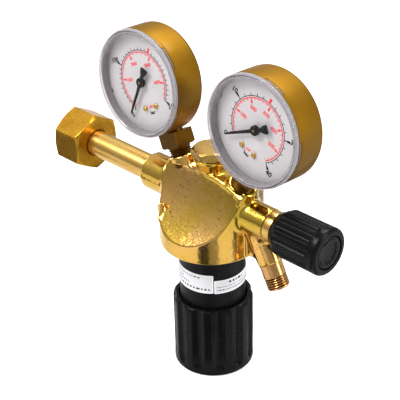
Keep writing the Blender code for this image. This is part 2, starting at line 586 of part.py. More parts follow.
def build_gauge(side, word):
    """One gauge in its own frame: x to the right, y into the case, z up the dial."""
    mount = bpy.data.objects.new(word + "_gauge", None)
    PARTS.objects.link(mount)
    mount.matrix_world = gauge_matrix(side)
    bpy.context.view_layer.update()
    prefix = word + "_gauge_"
    gauge_turned(prefix + "lens", "clear_plastic", mount, LARGE,
                 [(0.0, 2.2), (28.4, 2.2), (28.4, 5.8), (29.9, 5.8), (29.9, 2.4), (CASE_R, 2.4), (CASE_R, 0.5),
                  (CASE_R - 0.5, 0.0), (29.4, 0.0), (28.4, 1.0), (0.0, 1.0)])
    case = gauge_turned(prefix + "case", "gold_lacquer", mount, LARGE,
                        [(0.0, CASE_DEPTH), (26.0, CASE_DEPTH), (29.4, CASE_DEPTH - 0.7),
                         (CASE_R - 0.6, CASE_DEPTH - 1.9), (CASE_R, CASE_DEPTH - 3.6), (CASE_R, 2.7),
                         (CASE_R - CASE_WALL, 2.7), (CASE_R - CASE_WALL, CASE_DEPTH - 3.6),
                         (28.6, CASE_DEPTH - 1.9), (0.0, CASE_DEPTH - CASE_WALL)])
    cut(case, local_rod(prefix + "case_hole", mount, (0, STEM_DEPTH, -25), (0, STEM_DEPTH, -36), 5.0))
    gauge_turned(prefix + "dial", "dial_white", mount, LARGE,
                 [(1.6, 6.8), (29.2, 6.8), (29.2, 6.3), (1.6, 6.3)], closed=True)
    build_movement(prefix, mount)
    build_pointer(prefix, mount)
    build_socket(prefix, mount)


def gauge_turned(name, finish, mount, steps, profile, closed=False, at=(0, 0, 0)):
    """A piece turned about the dial's normal; heights in the profile are depths into the case."""
    obj = turned(name, profile, finish, at=at, along="Y", steps=steps, parent=mount, closed=closed)
    smooth(obj)
    return obj


def local_rod(name, mount, start, end, radius, facets=SMALL):
    frame = mount.matrix_world
    place = [frame @ (Vector(point) * MM) / MM for point in (start, end)]
    return rod(name, place[0], place[1], radius, facets=facets)


def local_block(name, mount, low, high, finish=None):
    obj = block(name, low, high, PARTS if finish else TOOLS, None, finish)
    obj.matrix_world = mount.matrix_world.copy()
    return obj


def build_movement(prefix, mount):
    """Frame plates, toothed sector, pinion with the pointer's arbor, and the pull rod."""
    frame = local_block(prefix + "frame", mount, (-8, 8.4, DIAL_SCREW_Z - 1.6), (8, 9.4, 9), "turned_brass")
    join(frame, local_block(prefix + "back_plate", mount, (-8, 14.2, -13.7), (8, 15.2, 9)))
    for k, (x, z) in enumerate(((-6.4, 7.4), (6.4, -10.4))):
        join(frame, local_rod(prefix + "pillar_%d" % k, mount, (x, 9.0, z), (x, 14.6, z), 1.1, facets=8))
    cut(frame, local_rod(prefix + "arbor_hole", mount, (0, 7, 0), (0, 17, 0), 1.2, facets=TINY))
    cut(frame, local_rod(prefix + "sector_hole", mount, (0, 7, -8), (0, 17, -8), 1.2, facets=TINY))
    for k, x in enumerate((-4.6, 4.6)):
        cut(frame, local_rod(prefix + "screw_hole_%d" % k, mount, (x, 7, DIAL_SCREW_Z), (x, 11, DIAL_SCREW_Z),
                             0.9, facets=10))
        screw = gauge_turned(prefix + "dial_screw_%d" % (k + 1), "turned_brass", mount, TINY,
                             [(0.0, 9.2), (0.6, 9.2), (0.6, 6.0), (1.5, 6.0), (1.5, 5.4), (1.0, 5.0),
                              (0.0, 5.0)], at=(x, 0, DIAL_SCREW_Z))
        cut_dial = local_rod(prefix + "dial_hole_%d" % k, mount, (x, 4, DIAL_SCREW_Z), (x, 8, DIAL_SCREW_Z),
                             0.9, facets=10)
        cut(bpy.data.objects[prefix + "dial"], cut_dial)
        smooth(screw)


def build_pointer(prefix, mount):
    """Arbor with pinion, and the pointer pressed on it; at rest the pointer stands at zero."""
    gauge_turned(prefix + "pinion", "turned_brass", mount, TINY,
                 [(0.0, 14.9), (0.5, 14.9), (0.5, 12.4), (PINION_R, 12.4), (PINION_R, 10.0), (0.5, 10.0),
                  (0.5, 5.4), (0.0, 5.4)])
    pointer = gauge_turned(prefix + "pointer", "black_plastic", mount, SMALL,
                           [(0.0, 5.1), (2.6, 5.1), (2.6, 3.0), (0.0, 3.0)])
    outline = [(-1.0, 0.0), (-0.35, 21.0), (0.0, 22.5), (0.35, 21.0), (1.0, 0.0), (1.0, -5.5), (1.9, -6.5),
               (1.9, -9.5), (-1.9, -9.5), (-1.9, -6.5), (-1.0, -5.5)]
    rest = mount.matrix_world @ Matrix.Rotation(math.radians(-ZERO_ANGLE), 4, "Y")
    join(pointer, plate(prefix + "blade", outline, 3.6, 4.2, rest))


def build_sector(prefix, mount):
    """Toothed sector on its pivot, its fan beside the pinion, and the pull rod on its tail."""
    sector = gauge_turned(prefix + "sector", "turned_brass", mount, TINY,
                          [(0.0, 14.9), (0.8, 14.9), (0.8, 8.7), (0.0, 8.7)], at=(0, 0, SECTOR_PIVOT))
    fan = [(0.0, SECTOR_PIVOT - 0.8)]
    for i in range(9):
        angle = math.radians(-6 + 46 * i / 8)
        reach = SECTOR_R - GAP
        fan.append((reach * math.sin(angle), SECTOR_PIVOT + reach * math.cos(angle)))
    fan += [(TAIL + 0.9, SECTOR_PIVOT + 0.9), (TAIL + 0.9, SECTOR_PIVOT - 0.9)]
    join(sector, plate(prefix + "sector_fan", fan, 10.6, 11.6, mount.matrix_world))
    foot, head = (TAIL, SECTOR_PIVOT), (16.4, 7.0)
    rod_outline = [(foot[0] - 0.8, foot[1] - 0.6), (foot[0] + 0.8, foot[1] - 0.6), (head[0] + 0.8, head[1]),
                   (head[0] + 0.2, head[1] + 1.0), (head[0] - 0.8, head[1])]
    smooth(plate(prefix + "link", rod_outline, 11.9, 12.5, mount.matrix_world, "steel"))


def build_socket(prefix, mount):
    """Stem with its square and thread, the holder inside the case, and the Bourdon tube."""
    half = STEM_SQUARE / 2
    socket = local_block(prefix + "socket", mount, (-half, STEM_DEPTH - half, -SQUARE_END),
                         (half, STEM_DEPTH + half, -CASE_R - 0.6), "turned_brass")
    join(socket, local_rod(prefix + "holder_neck", mount, (0, STEM_DEPTH, -25.5), (0, STEM_DEPTH, -36), 4.6))
    join(socket, local_block(prefix + "holder", mount, (-5, STEM_DEPTH - 4.4, -26.5), (5, STEM_DEPTH + 4.4, -14)))
    join(socket, local_rod(prefix + "thread", mount, (0, STEM_DEPTH, -38), (0, STEM_DEPTH, -STEM_END), 6.5))
    cut(socket, local_rod(prefix + "stem_bore", mount, (0, STEM_DEPTH, -20), (0, STEM_DEPTH, -60), 1.5,
                          facets=TINY))
    build_sector(prefix, mount)
    build_bourdon_tube(prefix, mount)


def build_bourdon_tube(prefix, mount):
    """The C-shaped tube: it starts beside the holder and its closed tip ends near the pull rod."""
    curve = bpy.data.curves.new(prefix + "tube", "CURVE")
    curve.dimensions = "3D"
    curve.bevel_depth = 1.9 * MM
    curve.bevel_resolution = 2
    curve.use_fill_caps = True
    spline = curve.splines.new("POLY")
    count = 16
    spline.points.add(count)
    for i, point in enumerate(spline.points):
        angle = math.radians(-105.5 - 228 * i / count)
        point.co = (21.5 * math.cos(angle) * MM, 17.4 * MM, 21.5 * math.sin(angle) * MM, 1.0)
    tube = add_object(prefix + "tube", curve, PARTS, "turned_brass", mount)
    return tube


clear_scene()
PARTS = new_collection("gas_regulator")
TOOLS = new_collection("construction")
build_body()
build_inlet()
build_union_nut()
build_valve()
build_diaphragm()
build_bonnet()
build_screw()
build_adjusting_knob()
label("label_left", -75, 45, -53.4, -41.1)
label("label_right", 46.4, 150, -53.7, -44.8)
build_outlet_valve()
build_gauge(-1, "left")
build_gauge(1, "right")
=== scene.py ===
"""Looks of the gas regulator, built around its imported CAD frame.

Sizes and places are in millimetres in the frame's own axes: the origin is the centre of the inlet
washer, +X runs to the outlet valve and +Z up the adjusting spindle. MM turns them into metres.
"""
import json
import math
import random

import bmesh
import bpy
import numpy as np
from mathutils import Matrix, Vector


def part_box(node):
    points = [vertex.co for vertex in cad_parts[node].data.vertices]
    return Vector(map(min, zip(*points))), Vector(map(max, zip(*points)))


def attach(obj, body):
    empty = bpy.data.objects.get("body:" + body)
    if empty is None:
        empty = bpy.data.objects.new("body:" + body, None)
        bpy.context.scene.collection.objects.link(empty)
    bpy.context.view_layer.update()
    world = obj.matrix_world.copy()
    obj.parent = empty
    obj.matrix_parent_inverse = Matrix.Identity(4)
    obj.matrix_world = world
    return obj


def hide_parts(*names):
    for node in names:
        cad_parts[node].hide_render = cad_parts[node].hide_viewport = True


MM = 0.001
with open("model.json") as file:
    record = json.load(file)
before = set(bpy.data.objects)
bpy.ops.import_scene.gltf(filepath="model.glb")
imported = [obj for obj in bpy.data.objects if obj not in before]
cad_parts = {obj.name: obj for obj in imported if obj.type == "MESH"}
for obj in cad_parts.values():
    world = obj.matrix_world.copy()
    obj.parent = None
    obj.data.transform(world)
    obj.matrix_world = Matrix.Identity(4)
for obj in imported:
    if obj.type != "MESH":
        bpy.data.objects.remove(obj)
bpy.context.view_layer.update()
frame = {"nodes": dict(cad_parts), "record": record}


def centre(node):
    low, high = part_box(node)
    return (low + high) / (2 * MM)


def reach_of(node, axis):
    """Lowest and highest value of a CAD node along an axis, in millimetres."""
    low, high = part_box(node)
    return low[axis] / MM, high[axis] / MM


X, Y, Z = 0, 1, 2
BODY_X = round(centre("bonnet")[X], 3)
FLOOR_Z = reach_of("adjusting_knob", Z)[0]

# forged body
BELL_R, BELL_BOTTOM = 30.2, -27.2
DOME_TOP, DOME_R = 18.6, 84.2
SCOOP_R, SCOOP_Y, SCOOP_Z = 68.3, -70.4, 38.1
TOP_BOSS_R, TOP_BOSS_Z = 9.8, 26.8
INLET_BOSS_R, INLET_BOSS_X = 11.3, 59.3
OUTLET_BOSS_R, OUTLET_BOSS_X = 9.6, 152.0
GAUGE_BOSS_R, PORT_TOP = 8.8, 46.2
SPIGOT_X, SPIGOT_SLANT = BODY_X + 32.9, math.radians(26.4)
SPIGOT_R, SPIGOT_COLLAR, SPIGOT_THREAD, SPIGOT_END = 6.95, 27.3, 34.6, 42.6
THREAD_R, THREAD_PITCH = 6.55, 1.337

# inlet, plug, housing and knobs
TUBE_R, TUBE_BORE_R, TUBE_END = 7.9, 2.8, 67.0
NUT_FLATS, NUT_BORE_R, NUT_PITCH, NUT_THREAD_END = 32.0, 10.9, 1.814, 4.6
PLUG_FLATS = 19.0
FLATS_CHAMFER = math.radians(30)
HOUSING_R = 19.5
SHEET_R, FIELD_R, PRINT_R = (19.62, 19.84), (19.8, 19.88), (19.88, 19.93)  # inner and outer radii of a label
KNOB_R, KNOB_FLUTES, KNOB_PHASE = 23.9, 12, math.radians(-69.3)
OUTLET_KNOB_R, OUTLET_FLUTE = 13.9, (2.8, 1.35)  # a flute's radius and depth

# gauges
GAUGE_X, GAUGE_Y, GAUGE_Z = 42.9, -14.7, 62.1
GAUGE_TILT = math.radians(-4.4)
GAUGE_ROLL = {-1: math.radians(-26.4), 1: math.radians(22.4)}
CASE_R, CASE_DEPTH = 31.5, 24.3
STEM_DEPTH, STEM_SQUARE, SQUARE_END, STEM_END = 17.6, 14.0, 41.0, 53.5
DIAL_DEPTH = 6.3
ZERO_ANGLE, SWEEP = -135.0, 270.0


# ---------------------------------------------------------------- mesh tools

def add(name, data, place=None):
    """A new object on some data, at a place."""
    obj = bpy.data.objects.new(name, data)
    bpy.context.scene.collection.objects.link(obj)
    if place is not None:
        obj.matrix_world = place
    return obj


def finished(name, shape, place, sharp=35.0, mesh=None):
    """An object out of a bmesh, smooth but for edges over the sharp angle, or left flat without one."""
    mesh = mesh or bpy.data.meshes.new(name)
    shape.to_mesh(mesh)
    shape.free()
    obj = add(name, mesh, place)
    if sharp is not None:
        shade(obj, sharp)
    return obj


def mesh_object(name, points, faces, place, sharp, weld=True):
    """An object from points in millimetres, with its faces turned outwards."""
    mesh = bpy.data.meshes.new(name)
    mesh.from_pydata([tuple(c * MM for c in p) for p in points], [], faces)
    shape = bmesh.new()
    shape.from_mesh(mesh)
    if weld:
        bmesh.ops.remove_doubles(shape, verts=shape.verts, dist=0.002 * MM)
    bmesh.ops.recalc_face_normals(shape, faces=shape.faces)
    return finished(name, shape, place, sharp, mesh)


def shade(obj, sharp=35.0):
    obj.data.shade_smooth()
    obj.data.set_sharp_from_angle(angle=math.radians(sharp))


def rounded(profile, closed):
    """Turns each corner (x, y, radius) of an outline into an arc; a corner (x, y) stays sharp."""
    pieces = 4
    out = []
    count = len(profile)
    for i, corner in enumerate(profile):
        inner = closed or 0 < i < count - 1
        if len(corner) < 3 or not inner:
            out.append(tuple(corner[:2]))
            continue
        here = Vector(corner[:2])
        back = Vector(profile[i - 1][:2]) - here
        ahead = Vector(profile[(i + 1) % count][:2]) - here
        half = back.angle(ahead) / 2
        reach = min(corner[2] / math.tan(half), 0.49 * back.length, 0.49 * ahead.length)
        radius = reach * math.tan(half)
        hub = here + (back.normalized() + ahead.normalized()).normalized() * radius / math.sin(half)
        first = here + back.normalized() * reach - hub
        last = here + ahead.normalized() * reach - hub
        sweep = first.angle(last)
        for k in range(pieces + 1):
            t = k / pieces
            arm = (first * math.sin((1 - t) * sweep) + last * math.sin(t * sweep)) / math.sin(sweep)
            out.append(tuple(hub + arm))
    return out


def lathe(name, profile, place, steps, closed=False, shape=None, sharp=35.0):
    """A turned piece about its local Z. shape(r, h, angle) may change each point's radius."""
    rows = rounded(profile, closed)
    points, faces, ring = [], [], []
    for r, h in rows:
        start = len(points)
        if r < 1e-6:
            points.append((0.0, 0.0, h))
            ring.append([start] * steps)
            continue
        for k in range(steps):
            angle = 2 * math.pi * k / steps
            radius = shape(r, h, angle) if shape else r
            points.append((radius * math.cos(angle), radius * math.sin(angle), h))
        ring.append(list(range(start, start + steps)))
    pairs = list(zip(ring, ring[1:])) + ([(ring[-1], ring[0])] if closed else [])
    for above, below in pairs:
        for k in range(steps):
            n = (k + 1) % steps
            corners = [above[k], above[n], below[n], below[k]]
            faces.append(list(dict.fromkeys(corners)))
    return mesh_object(name, points, [f for f in faces if len(f) > 2], place, sharp)


def steps_between(start, end, count):
    return [start + (end - start) * k / count for k in range(count + 1)]


def straight(radius, start, end, count):
    """Rows of one radius from one height to another."""
    return [(radius, h) for h in steps_between(start, end, count)]


def soft_min(a, b, sharpness):
    """The lesser of two positive numbers, with the corner between them rounded."""
    low = min(a, b)
    return low * ((a / low) ** -sharpness + (b / low) ** -sharpness) ** (-1 / sharpness)


def flats(sides, across, phase):
    """Distance to the outside of a prism with that many flat sides, at each angle."""
    sharpness = 90.0

    def reach(angle):
        near = sum(max(math.cos(angle - phase - 2 * math.pi * k / sides), 0.0) ** sharpness
                   for k in range(sides))
        return across / 2 / near ** (1 / sharpness)
    return reach


def spanner_flats(reach, face, ends, slack):
    """Shape function that cuts flats on all outside the face radius and chamfers them at the ends."""
    def shape(r, h, angle):
        if r < face - 0.3:
            return r
        cone = face + min(abs(h - end) for end in ends) / math.tan(FLATS_CHAMFER) + slack
        return soft_min(soft_min(r, reach(angle), 150), cone, 150)
    return shape


def prism(name, outline, near, far, place, bevel=0.0):
    """An outline in the place's x and z, between two depths along its y, with bevelled edges."""
    shape = bmesh.new()
    row = [shape.verts.new((x * MM, near * MM, z * MM)) for x, z in outline]
    face = shape.faces.new(row)
    push = bmesh.ops.extrude_face_region(shape, geom=[face])
    moved = [g for g in push["geom"] if isinstance(g, bmesh.types.BMVert)]
    bmesh.ops.translate(shape, vec=(0, (far - near) * MM, 0), verts=moved)
    bmesh.ops.recalc_face_normals(shape, faces=shape.faces)
    if bevel:
        bmesh.ops.bevel(shape, geom=list(shape.edges), offset=bevel * MM, segments=2, profile=0.5,
                        affect="EDGES", clamp_overlap=True)
    return finished(name, shape, place)


def rectangle(x0, z0, x1, z1):
    return [(x0, z0), (x1, z0), (x1, z1), (x0, z1)]


def polar(angle, radius):
    """A point at an angle clockwise from the top, in degrees."""
    return radius * math.sin(math.radians(angle)), radius * math.cos(math.radians(angle))


def band(inner, outer, start, end, count):
    """Outline of a ring's sector between two radii and two angles."""
    outline = [polar(a, inner) for a in steps_between(start, end, count)]
    return outline + [polar(a, outer) for a in steps_between(end, start, count)]


def combine(obj, tools, operation="DIFFERENCE"):
    """Cuts or joins tools with obj at once, and removes the tools."""
    for tool in tools:
        boolean = obj.modifiers.new(tool.name, "BOOLEAN")
        boolean.operation = operation
        boolean.solver = "MANIFOLD"
        boolean.object = tool
    bpy.context.view_layer.update()
    done = bpy.data.meshes.new_from_object(obj.evaluated_get(bpy.context.evaluated_depsgraph_get()))
    obj.modifiers.clear()
    obj.data = done
    for tool in tools:
        bpy.data.objects.remove(tool, do_unlink=True)
    shade(obj)
    return obj


def merge(name, objects):
    """One object out of several, as loose parts of one mesh in the first one's place."""
    place = objects[0].matrix_world.copy()
    shape = bmesh.new()
    for obj in objects:
        obj.data.transform(place.inverted() @ obj.matrix_world)
        shape.from_mesh(obj.data)
    for obj in objects:
        bpy.data.objects.remove(obj, do_unlink=True)
    return finished(name, shape, place, None)


def along_x():
    """A place whose local Z is the frame's X axis."""
    return Matrix.Rotation(math.pi / 2, 4, "Y")


def on_spindle():
    return Matrix.Translation((BODY_X * MM, 0, 0))


# ---------------------------------------------------------------- surfaces from distance fields

def unite(a, b, blend):
    """Union of two distance fields with a fillet of about that size, in millimetres."""
    h = np.clip(blend - np.abs(a - b), 0, None) / blend
    return np.minimum(a, b) - h * h * blend / 4


def meet(a, b, blend):
    """Intersection of two distance fields, with the edge rounded."""
    return -unite(-a, -b, blend)


def cone_field(p, start, end, r0, r1, blend):
    start, end = np.array(start, float), np.array(end, float)
    length = np.linalg.norm(end - start)
    axis = (end - start) / length
    along = (p - start) @ axis
    radial = np.linalg.norm(p - start - along[:, None] * axis, axis=1)
    radius = r0 + (r1 - r0) * np.clip(along / length, 0, 1)
    return meet(radial - radius, np.abs(along - length / 2) - length / 2, blend)


def capsule_field(p, start, end, radius):
    start, end = np.array(start, float), np.array(end, float)
    axis = end - start
    t = np.clip((p - start) @ axis / (axis @ axis), 0, 1)
    return np.linalg.norm(p - start - t[:, None] * axis, axis=1) - radius


EDGES = [(0, 1), (2, 3), (4, 5), (6, 7), (0, 2), (1, 3), (4, 6), (5, 7), (0, 4), (1, 5), (2, 6), (3, 7)]
CORNERS = np.array([(i >> 2 & 1, i >> 1 & 1, i & 1) for i in range(8)])


def surface(name, field, low, high, step):
    """The zero surface of a distance field as a closed mesh of quads, one point in each cell it crosses."""
    low, high = np.array(low, float), np.array(high, float)
    size = np.ceil((high - low) / step).astype(int) + 1
    rows, columns = (low[axis] + step * np.arange(size[axis]) for axis in (Y, Z))
    ys, zs = np.meshgrid(rows, columns, indexing="ij")
    values = np.empty(size, np.float32)
    for i in range(size[0]):
        slab = np.stack([np.full(ys.size, low[0] + step * i), ys.ravel(), zs.ravel()], 1)
        values[i] = field(slab).reshape(ys.shape)
    inside = values < 0
    views = [inside[c[0]:size[0] - 1 + c[0], c[1]:size[1] - 1 + c[1], c[2]:size[2] - 1 + c[2]]
             for c in CORNERS]
    total = sum(v.astype(np.int8) for v in views)
    cells = np.argwhere((total > 0) & (total < 8))
    index = np.full(size - 1, -1, np.int64)
    index[tuple(cells.T)] = np.arange(len(cells))
    at = [values[tuple((cells + c).T)] for c in CORNERS]
    place, hits = np.zeros((len(cells), 3)), np.zeros(len(cells))
    for a, b in EDGES:
        crossed = (at[a] < 0) != (at[b] < 0)
        t = np.where(crossed, at[a] / np.where(crossed, at[a] - at[b], 1), 0)
        place += np.where(crossed[:, None], CORNERS[a] + (CORNERS[b] - CORNERS[a]) * t[:, None], 0)
        hits += crossed
    points = low + step * (cells + place / hits[:, None])
    quads = []
    for axis in range(3):
        u, v = (axis + 1) % 3, (axis + 2) % 3
        here = [slice(1, -1)] * 3
        here[axis] = slice(0, -1)
        ahead = list(here)
        ahead[axis] = slice(1, None)
        starts = np.argwhere(inside[tuple(here)] != inside[tuple(ahead)])
        starts[:, [u, v]] += 1
        around = []
        for du, dv in ((0, 0), (1, 0), (1, 1), (0, 1)):
            cell = starts.copy()
            cell[:, u] -= du
            cell[:, v] -= dv
            around.append(index[tuple(cell.T)])
        quads.append(np.stack(around, 1))
    for _ in range(3):
        points -= pull(field, points, step)
    return mesh_object(name, points.tolist(), np.concatenate(quads).tolist(), None, 50.0, weld=False)


def pull(field, points, step):
    """How far each point moves to lie on the field's zero surface, at most half a cell."""
    probe = 0.02
    value = field(points)
    slope = np.empty_like(points)
    for axis in range(3):
        shift = np.zeros(3)
        shift[axis] = probe
        slope[:, axis] = (field(points + shift) - field(points - shift)) / (2 * probe)
    move = value[:, None] * slope / np.clip((slope ** 2).sum(1), 0.25, None)[:, None]
    length = np.linalg.norm(move, axis=1, keepdims=True)
    return move * np.minimum(1, 0.5 * step / np.maximum(length, 1e-9))


# ---------------------------------------------------------------- places

def spigot_point(distance):
    return (SPIGOT_X + distance * math.sin(SPIGOT_SLANT), 0.0, -distance * math.cos(SPIGOT_SLANT))


def spigot_place():
    """Local Z runs down the spigot from the outlet's axis."""
    return Matrix.Translation((SPIGOT_X * MM, 0, 0)) @ Matrix.Rotation(math.pi - SPIGOT_SLANT, 4, "Y")


def gauge_place(side):
    """A gauge's own frame: x to the right of the dial, y into the case, z up."""
    spot = Vector((BODY_X + side * GAUGE_X, GAUGE_Y, GAUGE_Z)) * MM
    return (Matrix.Translation(spot) @ Matrix.Rotation(GAUGE_TILT, 4, "X")
            @ Matrix.Rotation(GAUGE_ROLL[side], 4, "Y"))


def into_case(side):
    """Local Z runs from the front ring into the case."""
    return gauge_place(side) @ Matrix.Rotation(-math.pi / 2, 4, "X")


def stem_place(side):
    """Local Z runs from the height of the dial's centre down the stem."""
    return (gauge_place(side) @ Matrix.Translation((0, STEM_DEPTH * MM, 0))
            @ Matrix.Rotation(math.pi, 4, "X"))


def stem_point(side, distance):
    return tuple((gauge_place(side) @ Vector((0, STEM_DEPTH * MM, -distance * MM))) / MM)


# ---------------------------------------------------------------- materials

class Looks:
    """The node tree of a material or a world, with short ways to grow it."""

    def __init__(self, owner, shader="Principled BSDF", **values):
        owner.use_nodes = True
        self.owner = owner
        self.tree = owner.node_tree
        self.shader = self.tree.nodes[shader]
        for socket, value in values.items():
            self.wear(socket.replace("_", " "), value)

    def feed(self, socket, value):
        """Links a node's output to a socket, or sets the socket to a plain value."""
        if isinstance(value, bpy.types.NodeSocket):
            self.tree.links.new(value, socket)
        else:
            socket.default_value = value

    def wear(self, socket, value):
        self.feed(self.shader.inputs[socket], value)

    def grow(self, kind, output, inputs=(), **settings):
        """Adds a node with its settings and inputs, and returns one of its outputs."""
        node = self.tree.nodes.new("ShaderNode" + kind)
        for name, value in settings.items():
            setattr(node, name, value)
        for socket, value in dict(inputs).items():
            self.feed(node.inputs[socket], value)
        return node.outputs[output]

    def noise(self, scale, detail, stretch=(1, 1, 1)):
        """Noise in the object's own space; scale is in features a metre."""
        spot = self.grow("Mapping", "Vector", {"Vector": self.grow("TexCoord", "Object"), "Scale": stretch})
        return self.grow("TexNoise", "Fac", {"Vector": spot, "Scale": scale, "Detail": detail})

    def ramp(self, factor, stops):
        """A colour ramp through (position, colour) stops."""
        colour = self.grow("ValToRGB", "Color", {"Fac": factor})
        elements = colour.node.color_ramp.elements
        for k, (spot, tone) in enumerate(stops):
            element = elements[k] if k < 2 else elements.new(spot)
            element.position = spot
            element.color = (*tone, 1.0)
        return colour

    def tones(self, scale, detail, dark, light):
        """Noise that drifts between two colours."""
        return self.ramp(self.noise(scale, detail), [(0.3, dark), (0.7, light)])

    def spread(self, factor, low, high):
        """Maps a factor of 0.3 to 0.7, where noise mostly lies, to low and high."""
        return self.grow("MapRange", "Result", {"Value": factor, "From Min": 0.3, "From Max": 0.7,
                                                "To Min": low, "To Max": high})

    def reckon(self, operation, *values):
        return self.grow("Math", "Value", enumerate(values), operation=operation)

    def mix(self, factor, first, second):
        """Mixes two colours."""
        return self.grow("Mix", 2, {0: factor, 6: first, 7: second}, data_type="RGBA")

    def bump(self, heights):
        """Chains bumps of (height, strength, distance in millimetres) into the shader's normal."""
        below = {}
        for height, strength, distance in heights:
            sockets = {"Strength": strength, "Distance": distance * MM, "Height": height}
            below = {"Normal": self.grow("Bump", "Normal", {**sockets, **below})}
        self.wear("Normal", below["Normal"])


def new_skin(name, **values):
    return Looks(bpy.data.materials.new(name), **values)


def metal(name, dark, light, rough, grain=1.0, pebble=0.0, stretch=(1, 1, 1), patch=60.0):
    """Bare metal: patches of colour, uneven gloss, fine grain and, on a forging, a pebbled skin."""
    skin = new_skin(name, Metallic=1.0, Coat_Weight=0.12, Coat_Roughness=0.12)
    skin.wear("Base Color", skin.tones(patch, 4.0, dark, light))
    gloss = skin.noise(2200.0, 3.0, stretch)
    skin.wear("Roughness", skin.spread(gloss, *rough))
    heights = [(gloss, 0.10 * grain, 0.03)]
    if pebble:
        heights.append((skin.noise(420.0, 2.0), pebble, 0.25))
    skin.bump(heights)
    return skin


def threaded_skin():
    """Coppery turned brass with painted shade down in the grooves of the spigot's thread, which it follows by
    a helix.
    """
    skin = metal("threaded_end_groove_shade_skin", (0.62, 0.33, 0.10), (0.76, 0.44, 0.17), (0.18, 0.30), grain=0.6)
    spot = skin.grow("TexCoord", "Object")
    x, y, z = (skin.grow("SeparateXYZ", axis, {"Vector": spot}) for axis in "XYZ")
    rise = skin.reckon("MULTIPLY", z, 2 * math.pi / (THREAD_PITCH * MM))
    wave = skin.reckon("COSINE", skin.reckon("SUBTRACT", rise, skin.reckon("ARCTAN2", y, x)))
    above = skin.reckon("GREATER_THAN", z, SPIGOT_THREAD * MM)
    below = skin.reckon("LESS_THAN", z, (SPIGOT_END - 1.0) * MM)
    # painted shade: a helix mask that is high in the thread's grooves
    groove = skin.reckon("MULTIPLY", skin.reckon("MULTIPLY", above, below), wave)
    brass = skin.shader.inputs["Base Color"].links[0].from_socket
    # the dark brown mixed in by the mask is painted shade in the grooves
    skin.wear("Base Color", skin.mix(skin.reckon("MULTIPLY", groove, 1.3), brass, (0.11, 0.040, 0.010, 1.0)))
    return skin


def forged_skin():
    """Bright forged brass: greenish to coppery patches, dark specks and a pebbled, orange-peel surface."""
    skin = new_skin("forged_brass_skin", Metallic=1.0, Coat_Weight=0.12, Coat_Roughness=0.10)
    patches = skin.ramp(skin.noise(34.0, 3.0), [(0.32, (0.60, 0.40, 0.045)), (0.50, (0.78, 0.48, 0.085)),
                                                (0.68, (0.86, 0.50, 0.15))])
    specks = skin.ramp(skin.noise(760.0, 2.0), [(0.60, (0, 0, 0)), (0.70, (1, 1, 1))])
    where = skin.ramp(skin.noise(70.0, 2.0), [(0.45, (0, 0, 0)), (0.62, (0.75, 0.75, 0.75))])
    amount = skin.reckon("MULTIPLY", specks, where)
    skin.wear("Base Color", skin.mix(amount, patches, (0.16, 0.07, 0.012, 1.0)))
    skin.wear("Roughness", skin.spread(skin.noise(900.0, 3.0), 0.09, 0.24))
    skin.bump([(skin.noise(460.0, 2.0), 0.28, 0.25), (skin.noise(130.0, 2.0), 0.20, 0.6)])
    return skin


def plastic(name, dark, light, rough, grain=0.15, **values):
    """Moulded plastic: nearly even colour with a fine sandblasted skin."""
    skin = new_skin(name, **values)
    skin.wear("Base Color", skin.tones(80.0, 3.0, dark, light))
    sand = skin.noise(1400.0, 2.0)
    skin.wear("Roughness", skin.spread(sand, *rough))
    skin.bump([(sand, grain, 0.05)])
    return skin


def clear_plastic(name, tint, thin, edge, rough):
    """Clear plastic as a thin coat: see-through face on, and whiter and denser towards grazing."""
    skin = new_skin(name, Roughness=rough, IOR=1.49)
    skin.wear("Base Color", skin.tones(120.0, 2.0, tint, tuple(min(1, c * 1.05) for c in tint)))
    grazing = skin.grow("LayerWeight", "Facing", {"Blend": 0.12})
    skin.wear("Alpha", skin.grow("MapRange", "Result", {"Value": grazing, "To Min": thin, "To Max": edge}))
    return skin


FORGED = forged_skin()
TURNED = metal("turned_brass_skin", (0.70, 0.42, 0.10), (0.80, 0.51, 0.15), (0.20, 0.32), grain=0.6,
               stretch=(1, 1, 6))
# coppery brass with painted shade in the spigot's thread grooves
COPPERY = threaded_skin()
NUT = metal("milled_nut_skin", (0.55, 0.26, 0.012), (0.68, 0.36, 0.030), (0.22, 0.38), pebble=0.12, patch=140)
# painted shade: the stem's brass is given a near-black brown base colour, as though in shadow
SHADED_STEM_BRASS = metal("satin_stem_painted_shade_skin", (0.095, 0.040, 0.002), (0.135, 0.060, 0.004), (0.34, 0.46), pebble=0.05)
LACQUER = metal("gold_lacquer_skin", (0.212, 0.103, 0.003), (0.25, 0.124, 0.006), (0.50, 0.58), grain=0.5)
STEEL = metal("steel_skin", (0.46, 0.46, 0.47), (0.60, 0.60, 0.61), (0.22, 0.36))
BLACK = plastic("black_plastic_skin", (0.0030, 0.0030, 0.0033), (0.0050, 0.0050, 0.0055), (0.22, 0.31),
                Specular_IOR_Level=0.10)
SATIN_BLACK = plastic("housing_skin", (0.0035, 0.0035, 0.0040), (0.0060, 0.0060, 0.0065), (0.38, 0.48),
                      Specular_IOR_Level=0.12)
RUBBER = plastic("rubber_skin", (0.014, 0.014, 0.014), (0.024, 0.024, 0.024), (0.60, 0.75))
NYLON = plastic("nylon_skin", (0.76, 0.76, 0.72), (0.84, 0.84, 0.80), (0.38, 0.52))
DIAL = plastic("dial_skin", (0.50, 0.47, 0.48), (0.54, 0.51, 0.52), (0.45, 0.55), grain=0.05)
LABEL = plastic("label_skin", (0.80, 0.80, 0.82), (0.86, 0.86, 0.87), (0.35, 0.45), grain=0.04)
LABEL_FIELD = plastic("label_field_skin", (0.62, 0.62, 0.65), (0.68, 0.68, 0.70), (0.35, 0.45), grain=0.04)
INK = plastic("black_ink", (0.006, 0.006, 0.007), (0.012, 0.012, 0.013), (0.50, 0.65),
              Specular_IOR_Level=0.15)
